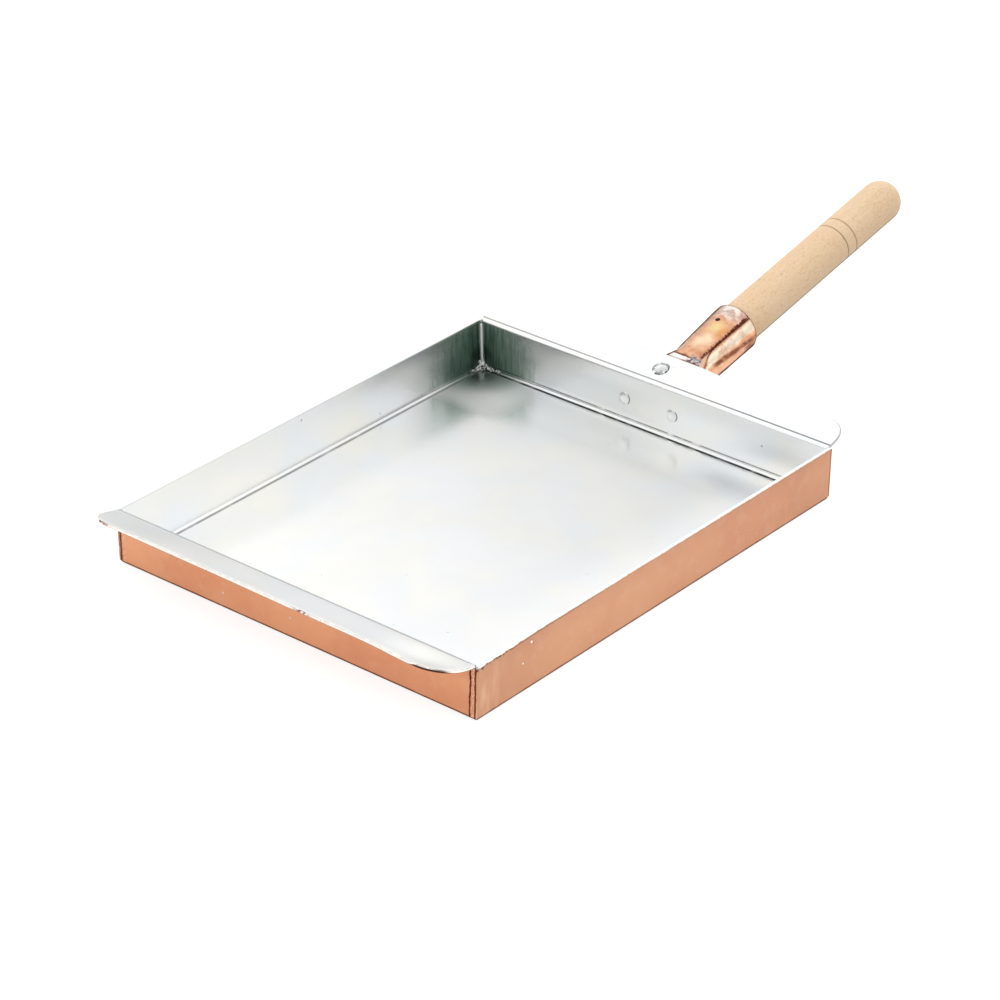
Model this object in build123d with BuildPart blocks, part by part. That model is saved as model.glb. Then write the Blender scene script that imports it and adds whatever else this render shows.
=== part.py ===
from build123d import *
from math import cos, radians, sin, tan
import os

# A rectangular Japanese omelette pan. One copper sheet is folded into a shallow tray with a
# flange at each end and tinned inside. A rolled copper socket, riveted to the rear wall and
# under the rear flange, holds a turned wooden grip.
# Millimetres. +Z is up and the origin is the middle of the underside. +Y runs along the pan
# towards the grip, and +X is on the right when looking along +Y.

os.makedirs("parts", exist_ok=True)

# Tray, its length between the end walls' outer faces
body_width = 195.0
body_length = 232.8
body_height = 25.1
sheet = 1.2
side_wall_lean = 0.6
base_edge_radius = 1.5
lap_width = 3.4
lap_thickness = 0.4

# Flanges, their widths along the slope from the end wall's outer face
front_flange_width = 18.6
front_flange_tilt = 14.0
front_flange_corner = 13.5
rear_flange_width = 15.6
rear_flange_tilt = 18.0
rear_flange_corner = 11.0
fold_radius = 1.1
flange_inset = 0.9
fold_depth = 5.0

# Tinning and solder
tin = 0.15
tin_fillet = 1.6
bead_radius = 1.8
bead_foot_radius = 2.3

# Handle line, which starts on the rear wall's outer face, below the rim
handle_drop = 10.2
handle_tilt = 11.7

# Socket, its places measured along the handle line
socket_reach = 63.4
socket_radius = 11.7
socket_sheet = 1.0
round_place = 36.0
waist_place = 17.4
waist_half_width = 10.8
waist_half_height = 11.5
foot_depth = 3.0
foot_half_width = 9.5
foot_half_height = 10.8
seam_angle = 45.0
seam_gap = 0.5
fork_place = 29.0
fork_near = 0.5
fork_far = 2.5
fork_mouth_place = 10.0
fork_mouth_near = 0.8
fork_mouth_far = 3.8
ear_span = 39.0
ear_height = 12.6
ear_corner = 5.0
tongue_width = 15.0
tongue_overhang = 2.5
tongue_corner = 2.0
flange_edge_gap = 0.1

# Rivets
rivet_shank_radius = 1.6
rivet_hole_clearance = 0.05
wall_rivet_spacing = 26.4
wall_rivet_drop = 12.5
wall_rivet_head_radius = 3.0
wall_rivet_head_rise = 0.8
wall_rivet_tail_radius = 2.7
wall_rivet_tail_rise = 1.1
flange_rivet_reach = 7.7
flange_rivet_head_radius = 4.0
flange_rivet_head_rise = 1.2
flange_rivet_tail_radius = 3.2
flange_rivet_tail_rise = 1.3

# Grip
grip_radius = 9.95
grip_reach = 185.5
grip_root_place = 27.0
grip_root_radius = 9.0
grip_full_place = 40.0
groove_places = (136.9, 143.4)
groove_width = 0.9
groove_depth = 0.45

# Nail
nail_place = 51.5
nail_hole_radius = 1.15
nail_head_radius = 1.1
nail_shank_radius = 0.8
nail_fit = 0.02
nail_length = 12.0
nail_sink = 0.4

# One overrun serves all cuts
overrun = 8.0

# Places worked out from the sizes above
half_width = body_width / 2
wall_face = body_length / 2
corner_face = wall_face + lap_thickness
flange_half_width = half_width - flange_inset
tin_half_width = half_width - side_wall_lean - sheet - tin
fold_foot = body_height - fold_depth
lined = sheet + tin
inner_bend = base_edge_radius - sheet
sky = body_height + overrun
handle_height = body_height - handle_drop
wall_rivet_height = body_height - wall_rivet_drop
rim_plane = Plane.XY.offset(body_height)


def flange_of(side):
    """Width, tilt in radians and corner radius of the rear flange (side 1) or the front one (-1)."""
    if side > 0:
        return rear_flange_width, radians(rear_flange_tilt), rear_flange_corner
    return front_flange_width, radians(front_flange_tilt), front_flange_corner


def flange_plane(side, depth):
    """Plane of a flange at a depth up through the sheet, y running out from the wall's face."""
    _, tilt, _ = flange_of(side)
    rise = depth - sheet
    origin = (
        0,
        side * (wall_face - rise * sin(tilt)),
        body_height + sheet * tan(tilt) + rise * cos(tilt),
    )
    return Plane(origin=origin, x_dir=(side, 0, 0), z_dir=(0, -side * sin(tilt), cos(tilt)))


def flange_points(side, depth):
    """Outer edge and fold corner of a flange as (y, z), at a depth up through the sheet."""
    width, tilt, _ = flange_of(side)
    edge = flange_plane(side, depth).from_local_coords(Vector(0, width, 0))
    fold_height = body_height + (depth - sheet) * (1 / cos(tilt) - tan(tilt))
    return (edge.Y, edge.Z), (side * (wall_face - depth), fold_height)


def outline(plane, points, radii):
    """Face inside a closed outline, each corner rounded by its own radius."""
    with BuildSketch(plane, mode=Mode.PRIVATE) as face:
        with BuildLine():
            FilletPolyline(*points, radius=radii, close=True)
        make_face()
    return face.sketch


def tray_space(depth, bend):
    """Solid between the walls' faces at a depth in the sheet, from the floor's face to the sky."""
    rim = half_width - depth
    foot = rim - side_wall_lean
    left = [(-rim, sky), (-rim, body_height), (-foot, depth)]
    right = [(foot, depth), (rim, body_height), (rim, sky)]
    with BuildPart(mode=Mode.PRIVATE) as space:
        with BuildSketch(Plane.XZ):
            with BuildLine():
                Polyline(*left, *right, close=True)
            make_face()
        extrude(amount=wall_face - depth, both=True)
        fillet(space.edges().group_by(Axis.Z)[0], bend)
    return space.part


def flange_section(side, low, high):
    """Section of a flange, its fold and the top of its wall, between two depths in the sheet."""
    low_edge, low_fold = flange_points(side, low)
    high_edge, high_fold = flange_points(side, high)
    points = [low_edge, low_fold, (low_fold[0], fold_foot), (high_fold[0], fold_foot)]
    radii = [0, fold_radius + low, 0, 0, fold_radius + high, 0]
    return outline(Plane.YZ, [*points, high_fold, high_edge], radii)


def end_wall_top(side, face, reach):
    """Block that holds the top of an end wall, from its inner face outwards."""
    block_depth = corner_face + overrun - face
    with BuildPart(mode=Mode.PRIVATE) as block:
        with Locations((0, side * (face + block_depth / 2), fold_foot)):
            Box(2 * reach, block_depth, sky, align=(Align.CENTER, Align.CENTER, Align.MIN))
    return block.part


def flange_tips(edges, side):
    """The two edges through the sheet at a flange's outer corners."""
    through = edges.filter_by(Axis((0, 0, 0), flange_plane(side, sheet).z_dir)).sort_by(Axis.Y)
    return through[-2:] if side > 0 else through[:2]


def rivet(head_radius, head_rise, tail_radius, tail_rise):
    """Rivet along Z through the tinned sheet and the socket's sheet, its head on Z = 0."""
    grip = lined + socket_sheet
    with BuildPart(mode=Mode.PRIVATE) as one:
        with BuildSketch(Plane.XZ):
            with BuildLine():
                TangentArc((0, head_rise), (head_radius, 0), tangent=(1, 0))
                Polyline(
                    (head_radius, 0),
                    (rivet_shank_radius, 0),
                    (rivet_shank_radius, -grip),
                    (tail_radius, -grip),
                )
                TangentArc((0, -grip - tail_rise), (tail_radius, -grip), tangent=(1, 0))
                Line((0, -grip - tail_rise), (0, head_rise))
            make_face()
        revolve(axis=Axis.Z)
    return one.part


# Rivet places: planes on the tinned face, their normals out of the rivet's head
wall_rivet_planes = [
    Plane(
        origin=(side * wall_rivet_spacing / 2, wall_face - lined, wall_rivet_height),
        x_dir=(1, 0, 0),
        z_dir=(0, -1, 0),
    )
    for side in (-1, 1)
]
tinned_flange = flange_plane(1, lined)
flange_rivet_plane = Plane(
    origin=tinned_flange.from_local_coords(Vector(0, flange_rivet_reach, 0)),
    x_dir=tinned_flange.x_dir,
    z_dir=tinned_flange.z_dir,
)
rivet_planes = [*wall_rivet_planes, flange_rivet_plane]
rivet_hole_radius = rivet_shank_radius + rivet_hole_clearance

# Handle line: z along the grip, y up from it, x to the left
handle_plane = Plane(
    origin=(0, wall_face, handle_height),
    x_dir=(-1, 0, 0),
    z_dir=(0, cos(radians(handle_tilt)), sin(radians(handle_tilt))),
)
handle_axis = Axis(handle_plane.origin, handle_plane.z_dir)
# Upright plane through the handle line: x along the grip, y up from it
handle_side = Plane(origin=handle_plane.origin, x_dir=handle_plane.z_dir, z_dir=(1, 0, 0))

# Nail line: z up through the socket's top and the grip
nail_plane = Plane(
    origin=handle_side.from_local_coords(Vector(nail_place, 0, 0)),
    x_dir=(1, 0, 0),
    z_dir=handle_plane.y_dir,
)
nail_top = socket_radius - nail_sink
nail_tip = nail_top - nail_length

# Seam plane: z out of the handle line towards the seam, x back along the line to the wall
seam_plane = Plane(
    origin=handle_plane.origin,
    x_dir=handle_plane.z_dir.reverse(),
    z_dir=handle_plane.y_dir.rotate(handle_axis, seam_angle),
)
# Wall plane: the rear wall's outer face at the height of its rivets
wall_plane = Plane(
    origin=(0, wall_face, wall_rivet_height),
    x_dir=(-1, 0, 0),
    z_dir=(0, 1, 0),
)

# Laps: the side walls' ends, wrapped round the corners onto the end walls
lap_top = min(flange_points(side, 0)[1][1] for side in (-1, 1))
wall_leans = [
    (-half_width, body_height),
    (side_wall_lean - half_width, 0),
    (half_width - side_wall_lean, 0),
    (half_width, body_height),
]
with BuildPart() as laps:
    with Locations((0, 0, base_edge_radius)):
        with GridLocations(body_width - lap_width, wall_face + corner_face, 2, 2):
            Box(
                lap_width,
                lap_thickness,
                lap_top - base_edge_radius,
                align=(Align.CENTER, Align.CENTER, Align.MIN),
            )
    with BuildSketch(Plane.XZ):
        Polygon(*wall_leans, align=None)
    extrude(amount=body_length, both=True, mode=Mode.INTERSECT)

# Pan sheet: one piece of copper, folded up into four walls and out into two flanges
with BuildPart() as pan_sheet:
    add(tray_space(0, base_edge_radius))
    add(tray_space(sheet, inner_bend), mode=Mode.SUBTRACT)
    split(bisect_by=rim_plane, keep=Keep.BOTTOM)
    for side in (-1, 1):
        add(end_wall_top(side, wall_face - sheet, flange_half_width), mode=Mode.SUBTRACT)
        extrude(flange_section(side, 0, sheet), amount=flange_half_width, both=True)
        fillet(flange_tips(pan_sheet.edges(), side), flange_of(side)[2])
    add(laps.part)
    with Locations(*rivet_planes):
        Cylinder(rivet_hole_radius, overrun, mode=Mode.SUBTRACT)
pan_sheet.part.label = "pan_sheet"
export_step(pan_sheet.part, "parts/pan_sheet.step")

# Tin lining: the skin of tin on the flanges, the walls, the floor and the side walls' rims
with BuildPart() as tin_lining:
    add(tray_space(sheet, inner_bend))
    add(tray_space(lined, tin_fillet), mode=Mode.SUBTRACT)
    split(bisect_by=rim_plane, keep=Keep.BOTTOM)
    for side in (-1, 1):
        add(end_wall_top(side, wall_face - lined, tin_half_width), mode=Mode.SUBTRACT)
        extrude(flange_section(side, sheet, lined), amount=tin_half_width, both=True)
        fillet(flange_tips(tin_lining.edges(), side), flange_of(side)[2])
        with Locations((side * (half_width - lined / 2), 0, body_height)):
            Box(lined, 2 * (wall_face - sheet), tin, align=(Align.CENTER, Align.CENTER, Align.MIN))
    with Locations(*rivet_planes):
        Cylinder(rivet_hole_radius, overrun, mode=Mode.SUBTRACT)
tin_lining.part.label = "tin_lining"
export_step(tin_lining.part, "parts/tin_lining.step")

# Corner solder: a bead up each inner corner, with a blob at its foot
with BuildPart() as corner_solder:
    bead_x = half_width - side_wall_lean / 2 - lined
    bead_height = fold_foot - lined
    with Locations((0, 0, lined)):
        with GridLocations(2 * bead_x, 2 * (wall_face - lined), 2, 2):
            Cylinder(
                bead_radius,
                bead_height,
                align=(Align.CENTER, Align.CENTER, Align.MIN),
            )
            Sphere(bead_foot_radius)
    add(tray_space(lined, tin_fillet), mode=Mode.INTERSECT)
corner_solder.part.label = "corner_solder"
export_step(corner_solder.part, "parts/corner_solder.step")


def socket_section(place, half_width, half_height, inset):
    """Oval section of the socket across the handle line, taken in by an inset."""
    with BuildSketch(handle_plane.offset(place), mode=Mode.PRIVATE) as oval:
        Ellipse(half_width - inset, half_height - inset)
    return oval.sketch


def socket_form(inset, mode):
    """Outer form of the socket, or its bore: a straight tube that narrows to an oval foot."""
    mouth = socket_section(socket_reach, socket_radius, socket_radius, inset)
    neck = socket_section(round_place, socket_radius, socket_radius, inset)
    waist = socket_section(waist_place, waist_half_width, waist_half_height, inset)
    foot = socket_section(-foot_depth, foot_half_width, foot_half_height, inset)
    loft([foot, waist, neck, mouth], ruled=True, mode=mode)


# Handle socket: copper sheet rolled round the handle line until its edges meet in a seam,
# which opens into a fork near the flange. Two ears lie on the rear wall and a tongue lies
# under the rear flange.
pressed_length = rear_flange_width + flange_edge_gap + overrun
tongue_length = rear_flange_width + tongue_overhang
with BuildPart() as handle_socket:
    socket_form(0, Mode.ADD)
    with BuildSketch(wall_plane):
        RectangleRounded(ear_span, ear_height, ear_corner)
    extrude(amount=socket_sheet)
    socket_form(socket_sheet, Mode.SUBTRACT)
    # The rear flange presses the socket's top flat
    with BuildSketch(flange_plane(1, 0)):
        with Locations((0, pressed_length / 2 - overrun)):
            Rectangle(ear_span, pressed_length)
    extrude(amount=overrun, mode=Mode.SUBTRACT)
    with BuildSketch(flange_plane(1, -socket_sheet)):
        with Locations((0, tongue_length / 2)):
            RectangleRounded(tongue_width, tongue_length, tongue_corner)
    extrude(amount=socket_sheet)
    add(pan_sheet.part, mode=Mode.SUBTRACT)
    # Seam and fork, cut outwards from the handle line on the seam's side
    with BuildSketch(seam_plane.offset(socket_radius / 2)):
        with BuildLine():
            Polyline(
                (-socket_reach - overrun, seam_gap / 2),
                (-socket_reach - overrun, -seam_gap / 2),
                (-round_place, -seam_gap / 2),
                (-fork_place, -fork_near),
                (-fork_mouth_place, -fork_mouth_near),
                (-fork_mouth_place, fork_mouth_far),
                (-fork_place, fork_far),
                (-round_place, seam_gap / 2),
                close=True,
            )
        make_face()
    extrude(amount=socket_radius, mode=Mode.SUBTRACT)
    # Nail hole through the top, and the rivet holes
    with Locations(nail_plane.offset(socket_radius)):
        Cylinder(nail_hole_radius, overrun, mode=Mode.SUBTRACT)
    with Locations(*rivet_planes):
        Cylinder(rivet_hole_radius, overrun, mode=Mode.SUBTRACT)
    split(bisect_by=wall_plane, keep=Keep.TOP)
handle_socket.part.label = "handle_socket"
export_step(handle_socket.part, "parts/handle_socket.step")

# Wall rivets: low heads inside the pan, their tails on the socket's ears
with BuildPart() as wall_rivets:
    with Locations(*wall_rivet_planes):
        add(
            rivet(
                wall_rivet_head_radius,
                wall_rivet_head_rise,
                wall_rivet_tail_radius,
                wall_rivet_tail_rise,
            )
        )
wall_rivets.part.label = "wall_rivets"
export_step(wall_rivets.part, "parts/wall_rivets.step")

# Flange rivet: a domed head on the rear flange, its tail under the tongue
with BuildPart() as flange_rivet:
    with Locations(flange_rivet_plane):
        add(
            rivet(
                flange_rivet_head_radius,
                flange_rivet_head_rise,
                flange_rivet_tail_radius,
                flange_rivet_tail_rise,
            )
        )
flange_rivet.part.label = "flange_rivet"
export_step(flange_rivet.part, "parts/flange_rivet.step")


def groove(place):
    """Points of a turned groove across the grip's outline."""
    return [
        (place - groove_width / 2, grip_radius),
        (place, grip_radius - groove_depth),
        (place + groove_width / 2, grip_radius),
    ]


# Wooden grip: turned, round-ended, with its root inside the socket
dome_place = grip_reach - grip_radius
with BuildPart() as wooden_grip:
    with BuildSketch(handle_side):
        with BuildLine():
            Polyline(
                (grip_reach, 0),
                (grip_root_place, 0),
                (grip_root_place, grip_root_radius),
                (grip_full_place, grip_radius),
                *groove(groove_places[0]),
                *groove(groove_places[1]),
                (dome_place, grip_radius),
            )
            CenterArc((dome_place, 0), grip_radius, 0, 90)
        make_face()
    revolve(axis=handle_axis)
    with Locations(nail_plane.offset(nail_tip)):
        Cylinder(
            nail_shank_radius + nail_fit,
            nail_length + overrun,
            align=(Align.CENTER, Align.CENTER, Align.MIN),
            mode=Mode.SUBTRACT,
        )
wooden_grip.part.label = "wooden_grip"
export_step(wooden_grip.part, "parts/wooden_grip.step")

# Handle nail: driven through the socket into the grip, its head sunk in the hole
with BuildPart() as handle_nail:
    with Locations(nail_plane.offset(nail_tip)):
        Cylinder(
            nail_shank_radius,
            nail_length,
            align=(Align.CENTER, Align.CENTER, Align.MIN),
        )
    with Locations(nail_plane.offset(grip_radius)):
        Cylinder(
            nail_head_radius,
            nail_top - grip_radius,
            align=(Align.CENTER, Align.CENTER, Align.MIN),
        )
handle_nail.part.label = "handle_nail"
export_step(handle_nail.part, "parts/handle_nail.step")
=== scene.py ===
from math import cos, pi, radians, sin, tan

import bmesh
import bpy
import numpy as np
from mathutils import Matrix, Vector


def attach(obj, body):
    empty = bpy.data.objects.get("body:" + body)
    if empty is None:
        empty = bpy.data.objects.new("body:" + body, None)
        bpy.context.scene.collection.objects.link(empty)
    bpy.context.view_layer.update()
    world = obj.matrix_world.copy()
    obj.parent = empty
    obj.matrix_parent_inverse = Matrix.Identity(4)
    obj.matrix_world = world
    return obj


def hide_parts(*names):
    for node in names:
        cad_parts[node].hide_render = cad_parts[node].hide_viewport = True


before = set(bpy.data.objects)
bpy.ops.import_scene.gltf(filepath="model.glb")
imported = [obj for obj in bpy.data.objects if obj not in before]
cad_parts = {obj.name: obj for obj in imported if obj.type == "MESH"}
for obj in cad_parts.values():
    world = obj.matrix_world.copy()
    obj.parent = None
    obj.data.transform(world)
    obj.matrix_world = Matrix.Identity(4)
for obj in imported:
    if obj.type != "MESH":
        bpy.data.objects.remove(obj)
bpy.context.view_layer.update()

# %% [markdown]
# This lesson dresses a rectangular Japanese omelette pan. The real one is a copper sheet folded
# into a shallow tray and tinned inside, with a rolled copper socket riveted on and a turned
# wooden grip nailed into it. The construction model already has every piece at its true size.
# Here each piece gets the surface that a hand-made one has: sheet that isn't quite flat, an edge
# cut with shears, lumpy solder, rubbed tin and heat-stained copper. All lengths below are
# millimetres, and one factor turns them into Blender's metres. The tin reaches a fiftieth of a
# millimetre into the copper, so that the two surfaces never fight over a pixel.

# %% Sizes of the pan
MM = 0.001
half_width = 97.5
wall_face = 116.4
body_height = 25.1
sheet = 1.2
tin = 0.15
side_wall_lean = 0.6
base_radius = 1.5
fold_radius = 0.4
flange_half_width = 96.6
lap_width = 3.4
front_left_narrower = 2.3
lined = sheet + tin
tin_bite = 0.02
print("pan between its walls, in mm:", 2 * (half_width - sheet), 2 * (wall_face - sheet))

# %% [markdown]
# Most pieces here are surfaces on a grid: a shape is a function of two parameters, worked out
# for the whole grid at once with numpy. One function turns such grids into a mesh. It welds the
# points that coincide, so seams and poles close, turns the faces outwards by the sign of the
# volume, and shades the surface smooth except at true edges.

# %% From grids to a mesh
def mesh_piece(name, *grids, sharp=35, weld=0.002, paint=None):
    """Mesh object over grids of points in millimetres, each shaped (rows, columns, 3).

    Each cell of a grid becomes one four-sided face. Points nearer than the weld are one point.
    Paint is one array of values per grid, which the finish reads as the attribute paint.
    """
    mesh = bpy.data.meshes.new(name)
    points = np.concatenate([grid.reshape(-1, 3) for grid in grids])
    faces = []
    first = 0
    for grid in grids:
        rows, columns = grid.shape[:2]
        index = np.arange(rows * columns).reshape(rows, columns) + first
        corners = [index[:-1, :-1], index[:-1, 1:], index[1:, 1:], index[1:, :-1]]
        faces.append(np.stack(corners, axis=-1).reshape(-1, 4))
        first += rows * columns
    mesh.from_pydata((points * MM).tolist(), [], np.concatenate(faces).tolist())
    if paint is not None:
        values = np.concatenate([np.ravel(one) for one in paint])
        mesh.attributes.new("paint", "FLOAT", "POINT").data.foreach_set("value", values)
    build = bmesh.new()
    build.from_mesh(mesh)
    bmesh.ops.remove_doubles(build, verts=build.verts, dist=weld * MM)
    bmesh.ops.dissolve_degenerate(build, edges=build.edges, dist=weld * MM / 2)
    bmesh.ops.recalc_face_normals(build, faces=build.faces)
    if build.calc_volume(signed=True) < 0:
        bmesh.ops.reverse_faces(build, faces=build.faces)
    open_edges = sum(1 for edge in build.edges if not edge.is_manifold)
    build.to_mesh(mesh)
    build.free()
    mesh.polygons.foreach_set("use_smooth", np.ones(len(mesh.polygons), bool))
    mesh.set_sharp_from_angle(angle=radians(sharp))
    piece = bpy.data.objects.new(name, mesh)
    bpy.context.scene.collection.objects.link(piece)
    print(name, "has", len(mesh.polygons), "faces and", open_edges, "open edges")
    return piece


def smooth_step(low, high, value):
    """0 below low, 1 above high, and a smooth S between: t * t * (3 - 2 t)."""
    t = np.clip((value - low) / (high - low), 0, 1)
    return t * t * (3 - 2 * t)


def bump_at(value, place, width):
    """Bell curve: exp(-((value - place) / width)^2)."""
    return np.exp(-(((value - place) / width) ** 2))


print("a smooth step, a quarter of the way up:", smooth_step(0, 4, 1))

# %% [markdown]
# A hand-made thing is never quite straight, so some shapes need a wandering value. Random
# numbers would need a table. A short sum of sines with unrelated wavelengths wanders just as
# well, is smooth, and gives the same result on every run.

# %% A wandering value
def wander(x, y, wavelength, seed):
    """Smooth value between -1 and 1 over the plane: the mean of four sines.

    Each sine runs in its own direction, and its wavelength is the given one times 1 to 2.2. A
    wander along a line has y = 0.
    """
    total = 0.0
    for k, stretch in enumerate((1.0, 1.31, 1.73, 2.2)):
        turn = seed * 1.7 + k * 2.4
        along = x * np.cos(turn) + y * np.sin(turn)
        total = total + np.sin(2 * pi * along / (wavelength * stretch) + seed * 3.1 + k)
    return total / 4


print("a wander, every 10 mm:", wander(np.arange(0, 50, 10), 0, 30, 1).round(2).tolist())

# %% [markdown]
# Sheet that was hammered over a block is never flat. The floor bows up a little between the
# walls, the walls sway inwards, and the flanges droop: the front one dips most near its right
# end and stands up a little at its left end. One function moves every point of the tray this
# way, so the copper, the tin and the solder stay in touch. It fades out near the socket.

# %% The tray's unevenness
def uneven(along, wavelength, seed):
    """How far the sheet is off a straight line, from 0 to 0.44 mm: 0.22 (1 + wander)."""
    return 0.22 + 0.22 * wander(along, 0, wavelength, seed)


def settle(points):
    """Moves points (..., 3) of the tray as the worked sheet lies, in millimetres.

    Floor: z grows by at most 0.4, faded to nothing at the walls. Walls: at most 0.44 inwards,
    most at mid height, faded to nothing at the corners. Flanges: z falls with the distance out.
    """
    x, y, z = points[..., 0], points[..., 1], points[..., 2]
    from_side = half_width - np.abs(x)
    from_end = wall_face - np.abs(y)
    inside = smooth_step(2, 34, np.minimum(from_side, from_end)) * smooth_step(6, 2.5, z)
    lift = inside * (0.2 + 0.2 * wander(x, y, 70, 5))
    height = smooth_step(0, 17, z) * (1 - 0.55 * smooth_step(17, 25, z))
    end_fade = smooth_step(2, 30, from_end) * smooth_step(6, 3, from_side) * height
    side_push = end_fade * uneven(y, 120, 2 + np.sign(x))
    clear_of_socket = np.where(y > 0, smooth_step(22, 52, np.abs(x)), 1)
    clear = smooth_step(0, 26, from_side) * smooth_step(7, 4, from_end) * height * clear_of_socket
    end_push = clear * uneven(x, 100, 4 + np.sign(y))
    out = smooth_step(0, 15, np.abs(y) - wall_face)
    dip = 1.15 * bump_at(x, 78, 15) - 0.6 * smooth_step(-20, -80, x)
    droop = out * clear_of_socket * uneven(x, 74, 6 + np.sign(y)) + np.where(y < 0, out * dip, 0)
    return np.stack([x - np.sign(x) * side_push, y - np.sign(y) * end_push, z + lift - droop], -1)


probe = settle(np.array([[0.0, 0.0, 1.35], [78.0, -134.0, 29.0], [-97.5, 0.0, 14.0]]))
print("floor, front flange and left wall lie at:", probe.round(2).tolist())

# %% [markdown]
# The pan's skin has a section, which is what a saw would show: up the wall, round the fold and
# out along the flange. A skin at a given depth in the sheet, 0 at the outside, has tighter
# bends, so one function gives the section for any depth. Two such skins bound the copper, and
# two more bound the tin that lies on it.

# %% Flanges and the folds that carry them
front = {"side": -1, "tilt": radians(14), "width": 18.6, "left": 11.6, "right": 13.8}
rear = {"side": 1, "tilt": radians(18), "width": 15.6, "left": 11.0, "right": 11.0}


def arc(centre_out, centre_z, radius, start, end, count):
    """Points (out, z) round a centre, from one angle in degrees to another."""
    angle = np.radians(np.linspace(start, end, count))
    return np.stack([centre_out + radius * np.cos(angle), centre_z + radius * np.sin(angle)], -1)


def line(start, end, count):
    """Points (out, z) from a start to an end."""
    share = np.linspace(0, 1, count)[:, None]
    return (1 - share) * np.array(start, float) + share * np.array(end, float)


def fold_points(flange, depth, count):
    """Arc of a fold in (out, z), from the wall to the flange, at a depth in the sheet.

    The corner between wall and flange lies at height H + (depth - sheet) (1 / cos t - tan t),
    for the tilt t, and the arc's tangents are radius * tan((90 - t) / 2) long.
    """
    tilt = flange["tilt"]
    radius = fold_radius + depth
    corner = body_height + (depth - sheet) * (1 / cos(tilt) - tan(tilt))
    tangent = radius * tan((pi / 2 - tilt) / 2)
    turn = 90 + np.degrees(tilt)
    return arc(radius - depth, corner - tangent, radius, 180, turn, count)


def on_flange(flange, depth, along):
    """Point (out, z) on a flange's skin at a distance out along its slope from the wall."""
    tilt = flange["tilt"]
    rise = depth - sheet
    out = along * cos(tilt) - rise * sin(tilt)
    z = body_height + sheet * tan(tilt) + along * sin(tilt) + rise * cos(tilt)
    return np.stack([out, z], -1)


for flange in (front, rear):
    reached = on_flange(flange, sheet, np.array(flange["width"]))
    print("flange's edge lies", reached.round(2).tolist(), "mm out and up")

# %% [markdown]
# Seen from above, a flange ends in a rounded outline. The real front one was cut by hand: its
# long edge swings in and out by half a millimetre, and its two corners differ. The outline is
# walked from the left wall to the right one, and each point keeps the direction square to the
# cut, which later rounds the sheet's edge.

# %% Outline of a flange
side_count, turn_count, edge_count = 7, 16, 84


def flange_end(flange, end):
    """One end of a flange: points (x, along) up its side and round its corner, with normals.

    The corner is a quarter circle, and a normal points out of the sheet, square to the cut.
    """
    radius = flange["left"] if end < 0 else flange["right"]
    up = np.linspace(0, flange["width"] - radius, side_count)[:-1]
    angle = np.radians(np.linspace(0, 90, turn_count))
    round_corner = np.stack([np.cos(angle), np.sin(angle)], -1)
    centre = np.array([flange_half_width - radius, flange["width"] - radius])
    straight = np.stack([np.full_like(up, flange_half_width), up], -1)
    points = np.concatenate([straight, centre + radius * round_corner])
    normals = np.concatenate([np.tile([1.0, 0.0], (len(up), 1)), round_corner])
    return points * (end, 1), normals * (end, 1)


def flange_outline(flange):
    """Outline of a flange: points (x, along) and outward unit normals, from left to right.

    The long edge is cut back by 0 to 0.44 mm, as the shears wandered, and the front one by
    another 0.75 mm left of its middle. The rear one stands out by 1 mm over the socket.
    """
    (left, left_normal), (right, right_normal) = flange_end(flange, -1), flange_end(flange, 1)
    x = np.linspace(left[-1, 0], right[-1, 0], edge_count)[1:-1]
    long_edge = np.stack([x, np.full_like(x, flange["width"])], -1)
    points = np.concatenate([left, long_edge, right[::-1]])
    up = np.tile([0.0, 1.0], (len(x), 1))
    normals = np.concatenate([left_normal, up, right_normal[::-1]])
    along, from_middle = points[:, 0], np.abs(points[:, 0])
    cut = uneven(along, 62, flange["side"] + 3)
    if flange["side"] < 0:
        cut = cut + 0.75 * bump_at(along, -32, 34)
    else:
        cut = cut * smooth_step(18, 50, from_middle) - smooth_step(36, 12, from_middle)
    points[:, 1] -= smooth_step(0, 14, flange_half_width - from_middle) * cut
    return points, normals


for flange in (front, rear):
    points, _ = flange_outline(flange)
    print("flange edge lies", points[:, 1].max().round(2), "mm from the wall at most")

# %% [markdown]
# The whole tray is one closed surface. Its columns run round the pan like the staves of a tub,
# and its rows run along the section: round the base bend, up the wall, through the fold, out
# along the flange, round the cut edge and back inside to the floor. Where there is no flange,
# at the side walls and the corners, the same rows simply go over the rim.

# %% Rows of the section
rim_round = 0.25
edge_round = 0.4
wall_top = 23.2
plan_round = 0.8
corner_turn = np.radians(np.linspace(45, 0, 5))
along_rim = plan_round * (1 - np.sin(corner_turn))
into_rim = plan_round * (1 - np.cos(corner_turn))
copper_skin = {"low": 0.0, "high": sheet, "low_bend": base_radius, "high_bend": 0.3}
tin_skin = {"low": sheet - tin_bite, "high": lined, "low_bend": 0.32, "high_bend": 1.6}


def edge_path(skin):
    """How a flange's cut edge is rounded: (inset, depth) pairs from the lower skin to the upper.

    Copper's whole edge is a flattened half circle. The tin ends in a quarter circle on top.
    """
    if skin["low"] == 0:
        angle = np.linspace(0, pi, 8)
        inset = edge_round * (1 - np.sin(angle) ** 0.6)
        return np.stack([inset, sheet * (1 - np.cos(angle)) / 2], -1)
    angle = np.linspace(0, pi / 2, 8)
    inset = edge_round + tin * (1 - np.cos(angle))
    return np.stack([inset, skin["low"] + (skin["high"] - skin["low"]) * np.sin(angle)], -1)


fold_count, across_count = 9, 9


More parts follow.
